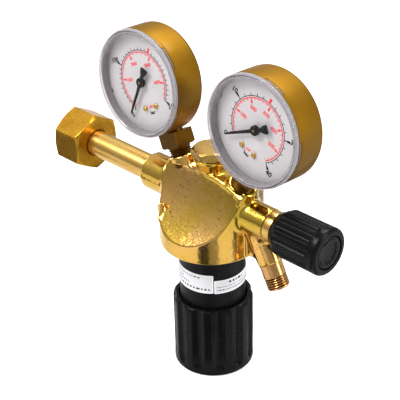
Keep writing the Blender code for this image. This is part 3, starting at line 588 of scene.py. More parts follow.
RED_INK = plastic("red_ink", (0.72, 0.03, 0.04), (0.80, 0.06, 0.07), (0.45, 0.60))
POINTER = plastic("pointer_skin", (0.004, 0.004, 0.004), (0.008, 0.007, 0.007), (0.40, 0.55),
                  Specular_IOR_Level=0.12)
WINDOW = clear_plastic("window_skin", (0.10, 0.10, 0.10), 0.02, 0.25, 0.04)
RIM = clear_plastic("rim_skin", (0.40, 0.38, 0.41), 0.40, 1.0, 0.10)
# painted shade: a dark grey-brown for the rings laid in the lens rim's groove and step
PAINTED_RIM_SHADE = plastic("rim_painted_shade_skin", (0.085, 0.070, 0.060), (0.14, 0.12, 0.10), (0.30, 0.40))


SLOT_SKINS = {
    "forged_brass": FORGED, "turned_brass": TURNED, "nut_brass": NUT, "gauge_brass": SHADED_STEM_BRASS,
    "gold_lacquer": LACQUER, "steel": STEEL, "black_plastic": BLACK, "clear_plastic": RIM,
    "dial_white": DIAL, "label": LABEL, "rubber": RUBBER, "nylon": NYLON, "pointer_black": POINTER,
}


def piece(obj, skin, body="body", stands_for=()):
    """Dresses a finished piece, hangs it on the empty of the body it rides on, and hides the CAD nodes it
    stands for.
    """
    obj.data.materials.clear()
    obj.data.materials.append(skin.owner)
    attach(obj, body)
    if stands_for:
        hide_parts(*stands_for)
    return obj


def dress_cad_nodes():
    """The inner pieces keep their CAD shape and take the material of their slot."""
    slots = {p["node"]: p["material_slot"] for p in frame["record"]["subparts"]}
    for name, node in frame["nodes"].items():
        node.data.materials.clear()
        node.data.materials.append(SLOT_SKINS[slots[name]].owner)


# ---------------------------------------------------------------- forged body

def forging_field(p):
    """The forging before machining: bell, scooped front, bosses, spigot neck and flash lines."""
    x, y, z = p[:, 0] - BODY_X, p[:, 1], p[:, 2]
    wall = np.hypot(x, y) - BELL_R
    dome = np.sqrt(x ** 2 + y ** 2 + (z - DOME_TOP + DOME_R) ** 2) - DOME_R
    bell = meet(meet(wall, dome, 2.6), BELL_BOTTOM - z, 1.6)
    ends = (INLET_BOSS_X, 0, 0), (OUTLET_BOSS_X, 0, 0)
    inlet = cone_field(p, (BODY_X - 12, 0, 0), ends[0], INLET_BOSS_R + 0.2, INLET_BOSS_R, 0.9)
    outlet = cone_field(p, (BODY_X + 12, 0, 0), ends[1], OUTLET_BOSS_R + 0.3, OUTLET_BOSS_R, 0.7)
    solid = unite(unite(bell, inlet, 3.0), outlet, 3.0)
    neck = cone_field(p, spigot_point(2), spigot_point(SPIGOT_COLLAR), SPIGOT_R + 0.6, SPIGOT_R, 0.5)
    web = np.maximum.reduce([np.abs(y) - 4.0, (x - 26) * 0.2 - (z + 25.6) * 0.98, x - 39, 24 - x, z + 2])
    solid = unite(unite(solid, neck, 2.2), web, 1.8)
    top = cone_field(p, (BODY_X, 0, 9), (BODY_X, 0, TOP_BOSS_Z - 1.8), 4.0, TOP_BOSS_R - 0.5, 0.6)
    solid = unite(solid, top, 3.5)
    for side in (-1, 1):
        port = stem_point(side, PORT_TOP)
        boss = cone_field(p, stem_point(side, 68), port, GAUGE_BOSS_R + 2.2, GAUGE_BOSS_R, 1.4)
        solid = unite(solid, boss, 3.5)
    scoop = SCOOP_R - np.hypot(y - SCOOP_Y, z - SCOOP_Z)
    solid = meet(solid, scoop, 0.9)
    ridge = np.hypot(np.maximum(wall, dome) + 0.3, scoop) - 1.1
    solid = unite(solid, np.maximum.reduce([ridge, 2.0 - x, 9.5 - z]), 0.9)
    rim = cone_field(p, (BODY_X, 0, TOP_BOSS_Z - 2.2), (BODY_X, 0, TOP_BOSS_Z), TOP_BOSS_R, TOP_BOSS_R, 0.5)
    solid = unite(unite(solid, np.maximum(top, 19.6 - z), 0.8), rim, 0.6)
    for side in (-1, 1):
        port = stem_point(side, PORT_TOP)
        collar = cone_field(p, stem_point(side, 54), port, GAUGE_BOSS_R, GAUGE_BOSS_R - 0.5, 1.0)
        solid = unite(solid, np.maximum(collar, 17.6 - z), 1.0)
    lump = capsule_field(p, (BODY_X - 20.6, -20.2, -4.5), (BODY_X - 20.4, -20.6, -7.5), 1.6)
    spur = capsule_field(p, (BODY_X - 20.0, -20.9, -9.5), (BODY_X - 18.6, -22.9, -12.5), 1.3)
    solid = unite(unite(solid, lump, 1.2), spur, 1.0)
    return unite(solid, flash_field(p), 0.7)


def flash_field(p):
    """The low ridge that the die's parting plane leaves along the bosses."""
    x, y, z = p[:, 0] - BODY_X, p[:, 1], p[:, 2]
    radial = np.hypot(y, z)
    inlet = np.maximum(radial - INLET_BOSS_R - 0.45, np.abs(x + 37.5) - 7.5)
    outlet = np.maximum(radial - OUTLET_BOSS_R - 0.45, np.abs(x - 36.5) - 7.0)
    return np.maximum(np.minimum(inlet, outlet), np.abs(y) - 0.4)


def bores_field(p):
    """Everything that machining takes away from the forging."""
    def bore(start, end, radius):
        return cone_field(p, start, end, radius, radius, 0.2)
    cuts = [
        bore((BODY_X, 0, -30), (BODY_X, 0, -16.0), 27.3),
        bore((BODY_X, 0, -20), (BODY_X, 0, -12.2), 22.0),
        bore((BODY_X, 0, 19.6), (BODY_X, 0, 32), 6.8),
        bore((BODY_X, 0, -5.0), (BODY_X, 0, 25), 3.4),
        bore((BODY_X, 0, -15), (BODY_X, 0, -4.5), 5.2),
        bore((50, 0, 0), (TUBE_END + 0.3, 0, 0), TUBE_R + 0.3),
        bore((TUBE_END - 2, 0, 0), (BODY_X, 0, 0), 2.0),
        bore((135, 0, 0), (158, 0, 0), 6.9),
        bore((BODY_X + 16.5, 0, 0), (137, 0, 0), 2.0),
        bore((BODY_X + 18.6, 0, 1), (BODY_X + 18.6, 0, -14), 2.0),
        bore(spigot_point(SPIGOT_END + 5), spigot_point(3), 2.4),
    ]
    for side in (-1, 1):
        cuts.append(bore(stem_point(side, PORT_TOP - 6), stem_point(side, PORT_TOP + 2.5), 6.9))
    return np.minimum.reduce(cuts)


def body_field(p):
    return meet(forging_field(p), -bores_field(p), 0.35)


def build_body():
    step = 0.5
    forging = surface("body_forging", body_field, (INLET_BOSS_X - 2, -33, -45), (157, 33, 29), step)
    piece(forging, FORGED, stands_for=("body",))
    build_spigot_end()


def threaded(start, end, crest, pitch, depth):
    """Shape function of a screw thread that fades in and out between two heights."""
    fade = 0.8

    def shape(r, h, angle):
        if r < crest - 0.05 or not start <= h <= end:
            return r
        turn = (h / pitch - angle / (2 * math.pi)) % 1.0
        fall = min(1.0, max(0.0, (h - start) / fade), max(0.0, (end - h) / fade + 0.3))
        return r - depth * fall * (0.5 + 0.5 * math.cos(2 * math.pi * turn)) ** 1.4
    return shape


def thread_rows(start, end, crest, pitch):
    return straight(crest, start, end, int((end - start) / pitch * 10))


def build_spigot_end():
    """The machined end of the outlet spigot: a plain collar, a pipe thread and a chamfered nose."""
    neck = THREAD_R - 0.4
    last = SPIGOT_END - 1.0
    rows = [(2.4, SPIGOT_COLLAR - 3), (neck, SPIGOT_COLLAR - 3), (neck, SPIGOT_COLLAR - 0.3),
            (THREAD_R, SPIGOT_COLLAR + 0.1), (THREAD_R, SPIGOT_THREAD - 0.1)]
    rows += thread_rows(SPIGOT_THREAD, last, THREAD_R, THREAD_PITCH)
    rows += [(THREAD_R - 0.85, SPIGOT_END), (3.6, SPIGOT_END, 0.2), (2.4, SPIGOT_END - 1.1)]
    thread = threaded(SPIGOT_THREAD, last, THREAD_R, THREAD_PITCH, 1.05)
    end = lathe("spigot_thread", rows, spigot_place(), 96, closed=True, shape=thread)
    piece(end, COPPERY, stands_for=("body",))


# ---------------------------------------------------------------- inlet

def build_inlet():
    profile = [(TUBE_BORE_R, TUBE_END), (TUBE_R, TUBE_END, 0.5), (TUBE_R, 6.0, 0.3), (10.3, 6.0, 0.4),
               (10.3, 2.5, 0.5), (5.2, 2.5, 0.2), (5.2, 1.0, 0.3), (4.2, 1.0, 0.2), (4.2, 13.3),
               (TUBE_BORE_R, 13.3)]
    tube = lathe("inlet_nipple", profile, along_x(), 128, closed=True)
    depth = TUBE_R - 0.75
    at = Matrix.Translation((44.0 * MM, 0, 0)) @ Matrix.Rotation(math.radians(-38), 4, "X")
    combine(tube, [lathe("notch", [(0, 9), (1.6, 9), (1.6, depth), (0, depth)], at, 32)])
    piece(tube, TURNED, stands_for=("inlet_tube",))
    washer = [(5.5, 2.2, 0.15), (9.5, 2.2, 0.25), (9.5, 0.0, 0.25), (5.5, 0.0, 0.15)]
    ring = lathe("inlet_washer", washer, along_x(), 96, closed=True)
    piece(ring, NYLON, stands_for=("inlet_seal",))


def build_nut():
    low, high = reach_of("union_nut", X)
    corner = NUT_FLATS / math.sqrt(3)
    face = NUT_FLATS / 2 - 0.5
    edge = (corner - face) * math.tan(FLATS_CHAMFER) * 1.3
    rows = [(8.5, high, 0.3), (face - 0.4, high)]
    rows += straight(corner + 1, high - 0.02, high - edge, 9)
    rows += straight(corner + 1, high - edge, low + edge, 6)[1:-1]
    rows += straight(corner + 1, low + edge, low + 0.02, 9)
    rows += [(face - 0.4, low), (12.0, low, 0.3), (NUT_BORE_R, low + 1.1)]
    rows += thread_rows(low + 1.2, NUT_THREAD_END, NUT_BORE_R, NUT_PITCH)
    rows += [(11.4, 5.0), (11.4, 6.3), (8.5, 6.3, 0.2)]
    outside = spanner_flats(flats(6, NUT_FLATS, math.radians(30)), face, (low, high), 0.15)

    def shape(r, h, angle):
        if abs(r - NUT_BORE_R) > 0.05 or not low + 1.2 <= h <= NUT_THREAD_END:
            return outside(r, h, angle)
        turn = (h / NUT_PITCH - angle / (2 * math.pi)) % 1.0
        return r + 0.5 - 0.5 * math.cos(2 * math.pi * turn)

    nut = lathe("nut_milled", rows, along_x(), 192, closed=True, shape=shape, sharp=28)
    piece(nut, NUT, "union_nut", ("union_nut",))


# ---------------------------------------------------------------- plug over the valve

def build_plug():
    low, high = 28.2, 32.2
    corner = PLUG_FLATS / math.sqrt(3)
    face = PLUG_FLATS / 2 - 0.3
    edge = (corner - face) * math.tan(FLATS_CHAMFER) * 1.3
    rows = [(0, high), (face - 0.4, high)] + straight(corner + 1, high - 0.02, high - edge, 8)
    rows += straight(corner + 1, high - edge, low, 4)[1:]
    rows += [(6.5, low), (6.5, 20.0, 0.4), (3.4, 20.0), (3.4, 24.0), (0, 24.0)]
    outside = spanner_flats(flats(6, PLUG_FLATS, math.radians(-45)), face, (high,), 0.1)
    plug = lathe("valve_plug", rows, on_spindle(), 192, shape=outside, sharp=28)
    piece(plug, TURNED, stands_for=("valve_cap",))
    ring = [(7.7, 27.9, 0.3), (9.4, 27.9, 0.3), (9.4, 27.1, 0.3), (7.7, 27.1, 0.3)]
    seal = lathe("plug_seal", ring, on_spindle(), 96, closed=True)
    piece(seal, TURNED, stands_for=("cap_seal",))


# ---------------------------------------------------------------- spring housing and labels

def build_housing():
    low, high = reach_of("bonnet", Z)
    rows = [(16.6, high, 0.3), (27.0, high, 0.3), (27.0, -26.9, 0.3), (HOUSING_R + 0.05, -26.9, 0.6),
            (HOUSING_R, -60), (HOUSING_R, low, 1.0), (4.6, low, 0.3), (4.6, low + 4), (16.6, low + 4, 1.0)]
    housing = lathe("spring_housing", rows, on_spindle(), 128, closed=True)
    combine(housing, [prism("keyway", rectangle(-18.0, -68.0, 18.0, -52.5), -2.0, 2.0, on_spindle())])
    piece(housing, SATIN_BLACK, stands_for=("bonnet",))


def wrapped(name, start, end, low, high, inner, outer, corner=0.6, count=48):
    """A curved plate round the housing; the angles run from -Y towards +X, in degrees."""
    middle = (inner + outer) / 2
    width = math.radians(end - start) * middle
    outline = rounded([(-width / 2, low, corner), (width / 2, low, corner), (width / 2, high, corner),
                       (-width / 2, high, corner)], closed=True)
    shape = bmesh.new()
    shape.faces.new([shape.verts.new((a, 0, b)) for a, b in outline])
    for x in [0] + [-width / 2 + width * k / count for k in range(1, count)]:
        bmesh.ops.bisect_plane(shape, geom=shape.verts[:] + shape.edges[:] + shape.faces[:],
                               plane_co=(x, 0, 0), plane_no=(1, 0, 0))
    push = bmesh.ops.extrude_face_region(shape, geom=shape.faces[:])
    for item in push["geom"]:
        if isinstance(item, bmesh.types.BMVert):
            item.co.y = 1.0
    turn = math.radians((start + end) / 2)
    for vert in shape.verts:
        angle = turn + vert.co.x / middle
        radius = inner if vert.co.y < 0.5 else outer
        vert.co = Vector((radius * math.sin(angle), -radius * math.cos(angle), vert.co.z)) * MM
    bmesh.ops.recalc_face_normals(shape, faces=shape.faces)
    return finished(name, shape, on_spindle())


def print_marks(name, start, end, lines, seed):
    """Short dashes in rows, standing for small print that says nothing."""
    draw = random.Random(seed)
    marks = []
    for height, tall, first, last, gap in lines:
        at = start + first
        while at < start + last:
            width = draw.uniform(1.2, 5.5) * tall
            if at + width > end - 2:
                break
            marks.append(wrapped("mark", at, at + width, height, height + tall, *PRINT_R, tall * 0.15, 3))
            at += width + gap
    return merge(name, marks)


def build_labels():
    for name, (start, end), (low, high), lines, seed in (
            ("label_left", (-75, 45), (-53.4, -41.1),
             [(-43.6, 0.8, 8, 96, 3.0), (-46.0, 0.7, 8, 60, 2.4), (-48.4, 0.7, 8, 74, 2.4),
              (-51.4, 1.1, 14, 117, 3.2)], 4),
            ("label_right", (46.4, 150), (-53.7, -44.8),
             [(-47.4, 1.3, 26, 58, 3.0), (-49.6, 0.5, 5, 100, 1.8), (-51.8, 0.7, 5, 100, 2.0)], 9)):
        sheet = wrapped(name + "_sheet", start, end, low, high, *SHEET_R)
        piece(sheet, LABEL, stands_for=(name,))
        field = wrapped(name + "_field", start + 1.9, end - 1.9, low + 0.6, high - 0.6, *FIELD_R, 0.3)
        piece(field, LABEL_FIELD)
        piece(print_marks(name + "_print", start, end, lines, seed), INK)


# ---------------------------------------------------------------- knobs

def fluted(radius, count, phase, flute_r, depth, blind, soft=0.5):
    """Shape function of a grip with round-bottomed flutes that end in a round at the blind height."""
    half = math.sqrt(flute_r ** 2 - (flute_r - depth) ** 2)

    def dip(h, angle):
        gap = 2 * math.pi / count
        offset = ((angle - phase + gap / 2) % gap - gap / 2) * radius
        q = math.hypot(offset, max(0.0, blind + half - h))
        raw = math.sqrt(flute_r ** 2 - q ** 2) if q < flute_r else flute_r - q
        raw -= flute_r - depth
        blend = max(soft - abs(raw), 0.0) / soft
        return max(raw, 0.0) + blend * blend * soft / 4
    return dip


def build_adjusting_knob():
    low, high = reach_of("adjusting_knob", Z)
    dip = fluted(KNOB_R, KNOB_FLUTES, KNOB_PHASE, 4.6, 1.9, low + 3.2)

    def shape(r, h, angle):
        if r < 20.8 or h < low + 1.5:
            return r
        return soft_min(r, KNOB_R - dip(h, angle), 200)

    crown = [(KNOB_R - 2.4 + 2.2 * math.cos(a), high - 2.2 + 2.2 * math.sin(a))
             for a in steps_between(math.pi / 2, 0.1, 7)]
    rows = [(20.4, high, 0.3)] + crown
    rows += straight(KNOB_R, high - 2.6, low + 8.0, 14) + straight(KNOB_R, low + 7.4, low + 2.6, 16)
    rows += [(KNOB_R, low + 1.9), (KNOB_R - 0.35, low + 1.55, 0.2), (KNOB_R, low + 1.2, 0.2),
             (KNOB_R - 0.1, low, 0.7), (20.6, low, 0.3), (20.6, -108.0), (18.6, -108.0), (18.6, -89.5, 1.0),
             (8.0, -89.5), (8.0, -98.3, 0.5), (3.7, -98.3), (3.7, -90.3), (4.3, -90.3), (4.3, -85.5),
             (20.4, -85.5, 1.0)]
    knob = lathe("knob_grip", rows, on_spindle(), 288, closed=True, shape=shape, sharp=40)
    piece(knob, BLACK, "adjusting_knob", ("adjusting_knob",))
    disc = [(0, -108.3), (20.2, -108.3, 0.3), (20.2, low + 0.1, 0.5), (15.0, low + 0.1, 0.3),
            (14.4, low + 0.7, 0.3), (6.0, low + 0.7, 0.3), (5.6, low + 0.2, 0.3), (0, low + 0.2)]
    cover = lathe("knob_disc", disc, on_spindle(), 96)
    piece(cover, BLACK, "adjusting_knob", ("knob_cover",))


def build_outlet_valve():
    bush = [(3.3, 157.5), (9.3, 157.5, 0.5), (9.3, 152.3, 0.4), (6.5, 152.3), (6.5, 143.0, 0.3), (5.4, 143.0),
            (5.4, 146.0), (3.3, 146.0)]
    ring = lathe("outlet_bush", bush, along_x(), 96, closed=True)
    piece(ring, TURNED, stands_for=("outlet_bonnet",))
    low, high = reach_of("outlet_knob", X)
    full, end = high - 6.5, high - 4.4
    along = fluted(OUTLET_KNOB_R, 12, math.radians(15), *OUTLET_FLUTE, low - 8.0, 0.6)
    rounding = fluted(OUTLET_KNOB_R, 12, math.radians(15), *OUTLET_FLUTE, full - end, 0.6)

    def shape(r, h, angle):
        """The flutes run to the full height and round out from there to their end."""
        if r < 10.6:
            return r
        depth = 0.0
        if h < full:
            depth = along(h, angle)
        elif h < end:
            depth = rounding(full - h, angle)
        return soft_min(r, OUTLET_KNOB_R - depth, 200)

    nose = [(OUTLET_KNOB_R - 2.4 + 2.4 * math.cos(a), high - 2.4 + 2.4 * math.sin(a))
            for a in steps_between(math.pi / 2, 0.0, 8)]
    rows = [(9.9, high - 2.4), (9.9, high, 0.3)] + nose + straight(OUTLET_KNOB_R, high - 2.9, high - 7.2, 16)
    rows += straight(OUTLET_KNOB_R, high - 7.8, low + 6.2, 10)
    rows += [(OUTLET_KNOB_R - 3.5 * t, low + 6.0 - 6.0 * t) for t in steps_between(0.0, 1.0, 8)]
    rows += [(7.4, low, 0.2), (7.4, low + 9), (3.3, low + 9), (3.3, 167.3), (2.7, 167.3), (2.7, 181.8),
             (6.0, 181.8), (6.0, high - 2.4)]
    knob = lathe("outlet_grip", rows, along_x(), 288, closed=True, shape=shape, sharp=40)
    piece(knob, BLACK, "outlet_knob", ("outlet_knob",))
    build_outlet_disc(high)


def build_outlet_disc(high):
    """The cover in the outlet knob's end: a dished face with two curved arrows raised on it."""
    disc = [(0, high - 0.9), (5.6, high - 0.9, 0.3), (6.0, high - 0.4, 0.3), (9.0, high - 0.25, 0.3),
            (9.5, high - 0.7, 0.2), (9.5, high - 2.0), (5.4, high - 2.0), (5.4, high - 4.0), (0, high - 4.0)]
    cover = lathe("outlet_disc", disc, along_x(), 96)
    piece(cover, BLACK, "outlet_knob", ("outlet_knob_cap",))
    arrows = []
    for turn in (0.0, math.pi):
        arc = [(r * math.cos(a), r * math.sin(a)) for r, angles in
               ((7.0, steps_between(0.5, 2.2, 12)), (7.9, steps_between(2.2, 0.5, 12))) for a in angles]
        head = [(6.2 * math.cos(0.55), 6.2 * math.sin(0.55)), (7.45 * math.cos(0.22), 7.45 * math.sin(0.22)),
                (8.7 * math.cos(0.5), 8.7 * math.sin(0.5))]
        place = Matrix.Translation(((high - 0.15) * MM, 0, 0)) @ Matrix.Rotation(turn, 4, "X") \
            @ Matrix.Rotation(math.pi / 2, 4, "Z")
        for k, outline in enumerate((arc, head)):
            arrows.append(prism("arrow_%d" % k, outline, -0.1, 0.35, place, 0.06))
    piece(merge("outlet_arrows", arrows), BLACK, "outlet_knob")


# ---------------------------------------------------------------- gauges

def five_round(side, inner, outer, half, near, far, bevel=0.0):
    """Five bars round a gauge's case, each reaching half so many degrees to both sides of its middle."""
    bars = []
    for middle in steps_between(0.7, 288.7, 4):
        outline = band(inner, outer, middle - half, middle + half, 8)
        bars.append(prism("bar", outline, near, far, gauge_place(side), bevel))
    return bars


def build_case(side, word):
    """The drum of a gauge with its rounded back, a front bead and slots for the lens's lugs."""
    rows = [(0, CASE_DEPTH), (25.5, CASE_DEPTH, 3.0), (CASE_R, CASE_DEPTH - 2.2, 3.6), (CASE_R, 5.2, 0.3),
            (CASE_R - 0.12, 5.0), (CASE_R - 0.12, 4.6), (CASE_R, 4.4, 0.3), (CASE_R, 2.7, 0.25),
            (CASE_R - 1.0, 2.7, 0.25), (CASE_R - 1.0, CASE_DEPTH - 3.6, 1.5), (28.0, CASE_DEPTH - 1.2, 1.0),
            (0, CASE_DEPTH - 1.0)]
    case = lathe(word + "_case_shell", rows, into_case(side), 160)
    slots = five_round(side, CASE_R - 0.75, CASE_R + 1, 12.5, 3.0, 4.1)
    hole = lathe("hole", [(0, 25), (5.4, 25), (5.4, 36), (0, 36)], stem_place(side), 48)
    combine(case, slots + [hole])
    piece(case, LACQUER, stands_for=(word + "_gauge_case",))


def build_lens(side, word):
    """The moulded lens: a rim with a groove round it, a skirt inside the case, a flat window, and dark rings
    painted as shade in the groove and at the inner step.
    """
    rows = [(CASE_R - 0.05, 2.4, 0.2), (CASE_R, 0.9, 0.5), (31.0, 0.1, 0.4), (30.55, 0.0, 0.2),
            (30.45, 1.0, 0.1), (29.95, 1.0, 0.1), (29.85, 0.25, 0.15), (29.3, 0.2, 0.2), (28.8, 0.9, 0.2),
            (28.4, 1.0), (28.4, 2.2), (28.45, 5.8, 0.2), (29.9, 5.8, 0.2), (29.9, 2.4)]
    rim = lathe(word + "_lens_rim", rows, into_case(side), 160, closed=True, sharp=25)
    piece(rim, RIM, stands_for=(word + "_gauge_lens",))
    # painted shade: a dark ring laid in the rim's groove
    groove_shade_ring = [(29.98, 0.72, 0.1), (30.42, 0.72, 0.1), (30.42, 0.98), (29.98, 0.98)]
    piece(lathe(word + "_lens_groove_shade", groove_shade_ring, into_case(side), 160, closed=True), PAINTED_RIM_SHADE)
    # painted shade: a dark ring at the rim's inner step
    step = [(28.5, 1.02, 0.1), (28.85, 0.86, 0.1), (28.9, 1.1), (28.5, 1.25)]
    piece(lathe(word + "_lens_step_shade", step, into_case(side), 160, closed=True), PAINTED_RIM_SHADE)
    lugs = five_round(side, CASE_R - 0.8, CASE_R - 0.1, 11.5, 3.25, 3.85, 0.1)
    piece(merge(word + "_lens_lugs", lugs), RIM)
    pane = [(0, 2.1), (28.38, 2.1), (28.38, 1.1, 0.1), (0, 1.0)]
    piece(lathe(word + "_window", pane, into_case(side), 96), WINDOW,
          stands_for=(word + "_gauge_lens",))


def tick(place, angle, near, far, width, depth=0.06):
    side = Vector((math.cos(math.radians(angle)), -math.sin(math.radians(angle)))) * width / 2
    a, b = Vector(polar(angle, near)), Vector(polar(angle, far))
    return prism("tick", [tuple(a - side), tuple(a + side), tuple(b + side), tuple(b - side)],
                 DIAL_DEPTH - depth, DIAL_DEPTH + 0.03, place)


def dial_arc(place, radius, width):
    outline = band(radius - width / 2, radius + width / 2, ZERO_ANGLE, ZERO_ANGLE + SWEEP, 90)
    return prism("arc", outline, DIAL_DEPTH - 0.06, DIAL_DEPTH + 0.03, place)


def written(text, place, spot, size):
    """Numerals raised a hair above the dial, centred on a spot."""
    curve = bpy.data.curves.new("numerals", "FONT")
    curve.body = text
    curve.size = size * MM
    curve.align_x, curve.align_y = "CENTER", "CENTER"
    curve.extrude = 0.04 * MM
    curve.offset = size * 0.034 * MM
    curve.resolution_u = 3
    flat = add("numerals", curve)
    bpy.context.view_layer.update()
    mesh = bpy.data.meshes.new_from_object(flat.evaluated_get(bpy.context.evaluated_depsgraph_get()))
    bpy.data.objects.remove(flat, do_unlink=True)
    shape = bmesh.new()
    shape.from_mesh(mesh)
    bmesh.ops.remove_doubles(shape, verts=shape.verts, dist=0.001 * MM)
    at = Matrix.Translation((spot[0] * MM, (DIAL_DEPTH - 0.02) * MM, spot[1] * MM))
    return finished("numerals", shape, place @ at @ Matrix.Rotation(math.pi / 2, 4, "X"), None, mesh)


PSI_IN_BAR = 0.0689476
DIALS = {  # full scale in bar, bar step and numbers, red mark in bar, psi step between numbers
    "left": (315.0, 10.0, (0, 100, 315), 200.0, 1000),
    "right": (40.0, 2.0, (0, 10, 30, 40), 20.0, 100),
}


def build_dial(side, word):
    place = gauge_place(side)
    full, step, numbers, red_at, psi_step = DIALS[word]
    rows = [(1.6, 6.8), (29.2, 6.8, 0.15), (29.2, DIAL_DEPTH, 0.15), (1.6, DIAL_DEPTH)]
    face = lathe(word + "_dial_face", rows, into_case(side), 96, closed=True)
    piece(face, DIAL, stands_for=(word + "_gauge_dial",))

    def turn(bar):
        return ZERO_ANGLE + SWEEP * bar / full

    black = [dial_arc(place, 18.2, 0.42)]
    count = int(full / step + 1e-6)
    for k in range(count + 1):
        black.append(tick(place, turn(k * step), 18.1, 20.1 if k % 5 == 0 else 19.8, 0.40))
    for value in numbers:
        angle = turn(value)
        black.append(tick(place, angle, 18.1, 20.4, 0.55))
        if value:
            black.append(tick(place, angle, 20.2, 22.2, 1.3))
        black.append(written(str(value), place, polar(angle, 24.1), 4.0))
    black.append(written("bar", place, (0, -18.0), 3.0))
    black.append(tick(place, -91.0, 28.2, 29.1, 2.0))
    piece(merge(word + "_dial_black", black), INK)

    red = [dial_arc(place, 17.1, 0.65)]
    psi_full = full / PSI_IN_BAR
    for k in range(int(psi_full / psi_step * 5) + 1):
        red.append(tick(place, turn(k * psi_step / 5 * PSI_IN_BAR), 15.7, 17.1, 0.42))
    for k in range(1, int(psi_full / psi_step) + 1):
        angle = turn(k * psi_step * PSI_IN_BAR)
        red.append(tick(place, angle, 14.0, 16.0, 1.25))
        red.append(written(str(k * psi_step), place, polar(angle, 11.3), 3.2 if psi_step < 1000 else 2.7))
    red.append(tick(place, turn(red_at), 18.1, 21.2, 1.6, 0.08))
    red.append(written("psi", place, (0, -14.4), 2.8))
    piece(merge(word + "_dial_red", red), RED_INK)


def build_dial_screws(side, word):
    low_z = (gauge_place(side).inverted() @ (centre(word + "_gauge_dial_screw_1") * MM))[Z] / MM
    for k, x in enumerate((-4.6, 4.6)):
        place = gauge_place(side) @ Matrix.Translation((x * MM, 0, low_z * MM)) \
            @ Matrix.Rotation(-math.pi / 2, 4, "X")
        rows = [(0, 9.2), (0.6, 9.2), (0.6, 6.1), (1.6, 6.1, 0.1), (1.5, 5.3, 0.3), (1.0, 5.0, 0.3),
                (0, 4.95)]
        screw = lathe(word + "_screw_%d" % (k + 1), rows, place, 40)
        slot = prism("slot", rectangle(-2, -0.22, 2, 0.22), 4.5, 5.35,
                     place @ Matrix.Rotation(math.pi / 2, 4, "X") @ Matrix.Rotation(0.6 + k, 4, "Y"))
        combine(screw, [slot])
        piece(screw, TURNED, stands_for=(word + "_gauge_dial_screw_%d" % (k + 1),))


def build_pointer(side, word):
    """Needle, flared tail and hub with the arbor's end; it turns with the pointer's body."""
    place = gauge_place(side) @ Matrix.Rotation(math.radians(ZERO_ANGLE), 4, "Y")
    blade = [(-1.15, 0.0), (-0.55, 20.6), (0.0, 22.5), (0.55, 20.6), (1.15, 0.0), (1.15, -4.4), (2.2, -6.6),
             (2.6, -9.2), (1.2, -9.6), (-1.2, -9.6), (-2.6, -9.2), (-2.2, -6.6), (-1.15, -4.4)]
    needle = prism("needle", blade, 3.5, 4.1, place, 0.12)
    hub = lathe("hub", [(0, 5.1), (2.8, 5.1, 0.2), (2.8, 3.0, 0.5), (0.9, 2.85, 0.2), (0, 2.85)],
                into_case(side), 48)
    hub.data.transform(place.inverted() @ hub.matrix_world)
    hub.matrix_world = place
    piece(merge(word + "_needle", [needle, hub]), POINTER, word + "_pointer",
          (word + "_gauge_pointer",))
    pin = lathe(word + "_arbor_end", [(0, 3.2), (0.5, 3.2), (0.5, 2.7, 0.15), (0, 2.65)], into_case(side), 24)
    piece(pin, TURNED, word + "_pointer")


def build_socket(side, word):
    """The stem: a square for the spanner, the thread below it and the holder inside the case."""
    square = flats(4, STEM_SQUARE, 0.0)
    top, low = CASE_R + 0.6, SQUARE_END

    def shape(r, h, angle):
        if r > 9.0:
            edge = 8.7 + (low - h) / math.tan(math.radians(32))
            return soft_min(square(angle), edge, 120)
        return thread(r, h, angle)

    thread = threaded(low + 0.6, STEM_END - 1, 6.5, THREAD_PITCH, 0.75)
    rows = [(0, top), (6.6, top), (11.0, top + 0.01)]
    rows += straight(11.0, top + 0.3, low - 1.5, 5) + straight(11.0, low - 1.3, low - 0.02, 7)
    rows += [(6.7, low), (6.5, low + 0.55)] + thread_rows(low + 0.6, STEM_END - 1, 6.5, THREAD_PITCH)
    rows += [(5.6, STEM_END), (1.5, STEM_END, 0.3), (1.5, top + 3), (0, top + 3)]
    stem = lathe(word + "_stem", rows, stem_place(side), 160, shape=shape, sharp=30)
    piece(stem, SHADED_STEM_BRASS, stands_for=(word + "_gauge_socket",))
    neck = lathe("neck", [(0, 25.0), (5.0, 25.0), (5.0, top + 0.2), (0, top + 0.2)], stem_place(side), 48)
    near, far = STEM_DEPTH - 4.4, STEM_DEPTH + 4.4
    block = prism("block", rectangle(-5, -26.5, 5, -14), near, far, gauge_place(side), 0.6)
    block.data.transform(stem_place(side).inverted() @ block.matrix_world)
    block.matrix_world = stem_place(side)
    holder = piece(combine(neck, [block], "UNION"), SHADED_STEM_BRASS, stands_for=(word + "_gauge_socket",))
    holder.name = word + "_holder"


def build_gauges():
    for side, word in ((-1, "left"), (1, "right")):
        build_case(side, word)
        build_lens(side, word)
        build_dial(side, word)
        build_dial_screws(side, word)
        build_pointer(side, word)
        build_socket(side, word)


# ---------------------------------------------------------------- studio

def plain(name, colour, strength=0.0):
    """Studio card: one even colour that may glow a little."""
    skin = new_skin(name, Roughness=0.9, Emission_Color=(*colour, 1.0), Emission_Strength=strength)
    skin.wear("Base Color", skin.tones(3.0, 2.0, tuple(c * 0.97 for c in colour), colour))
    return skin


def stage_plane(name, outline, place, skin):
    """A flat thing of the studio, from an outline in metres."""
    mesh = bpy.data.meshes.new(name)
    mesh.from_pydata([(x, y, 0) for x, y in outline], [], [tuple(range(len(outline)))])
    mesh.materials.append(skin.owner)
    obj = add(name, mesh, place)
    return obj


def mirrored_only(obj):
    """A card that shows in the metal's gloss and nowhere else."""
    obj.visible_camera = False
    obj.visible_diffuse = False
    obj.visible_transmission = False
    obj.visible_shadow = False


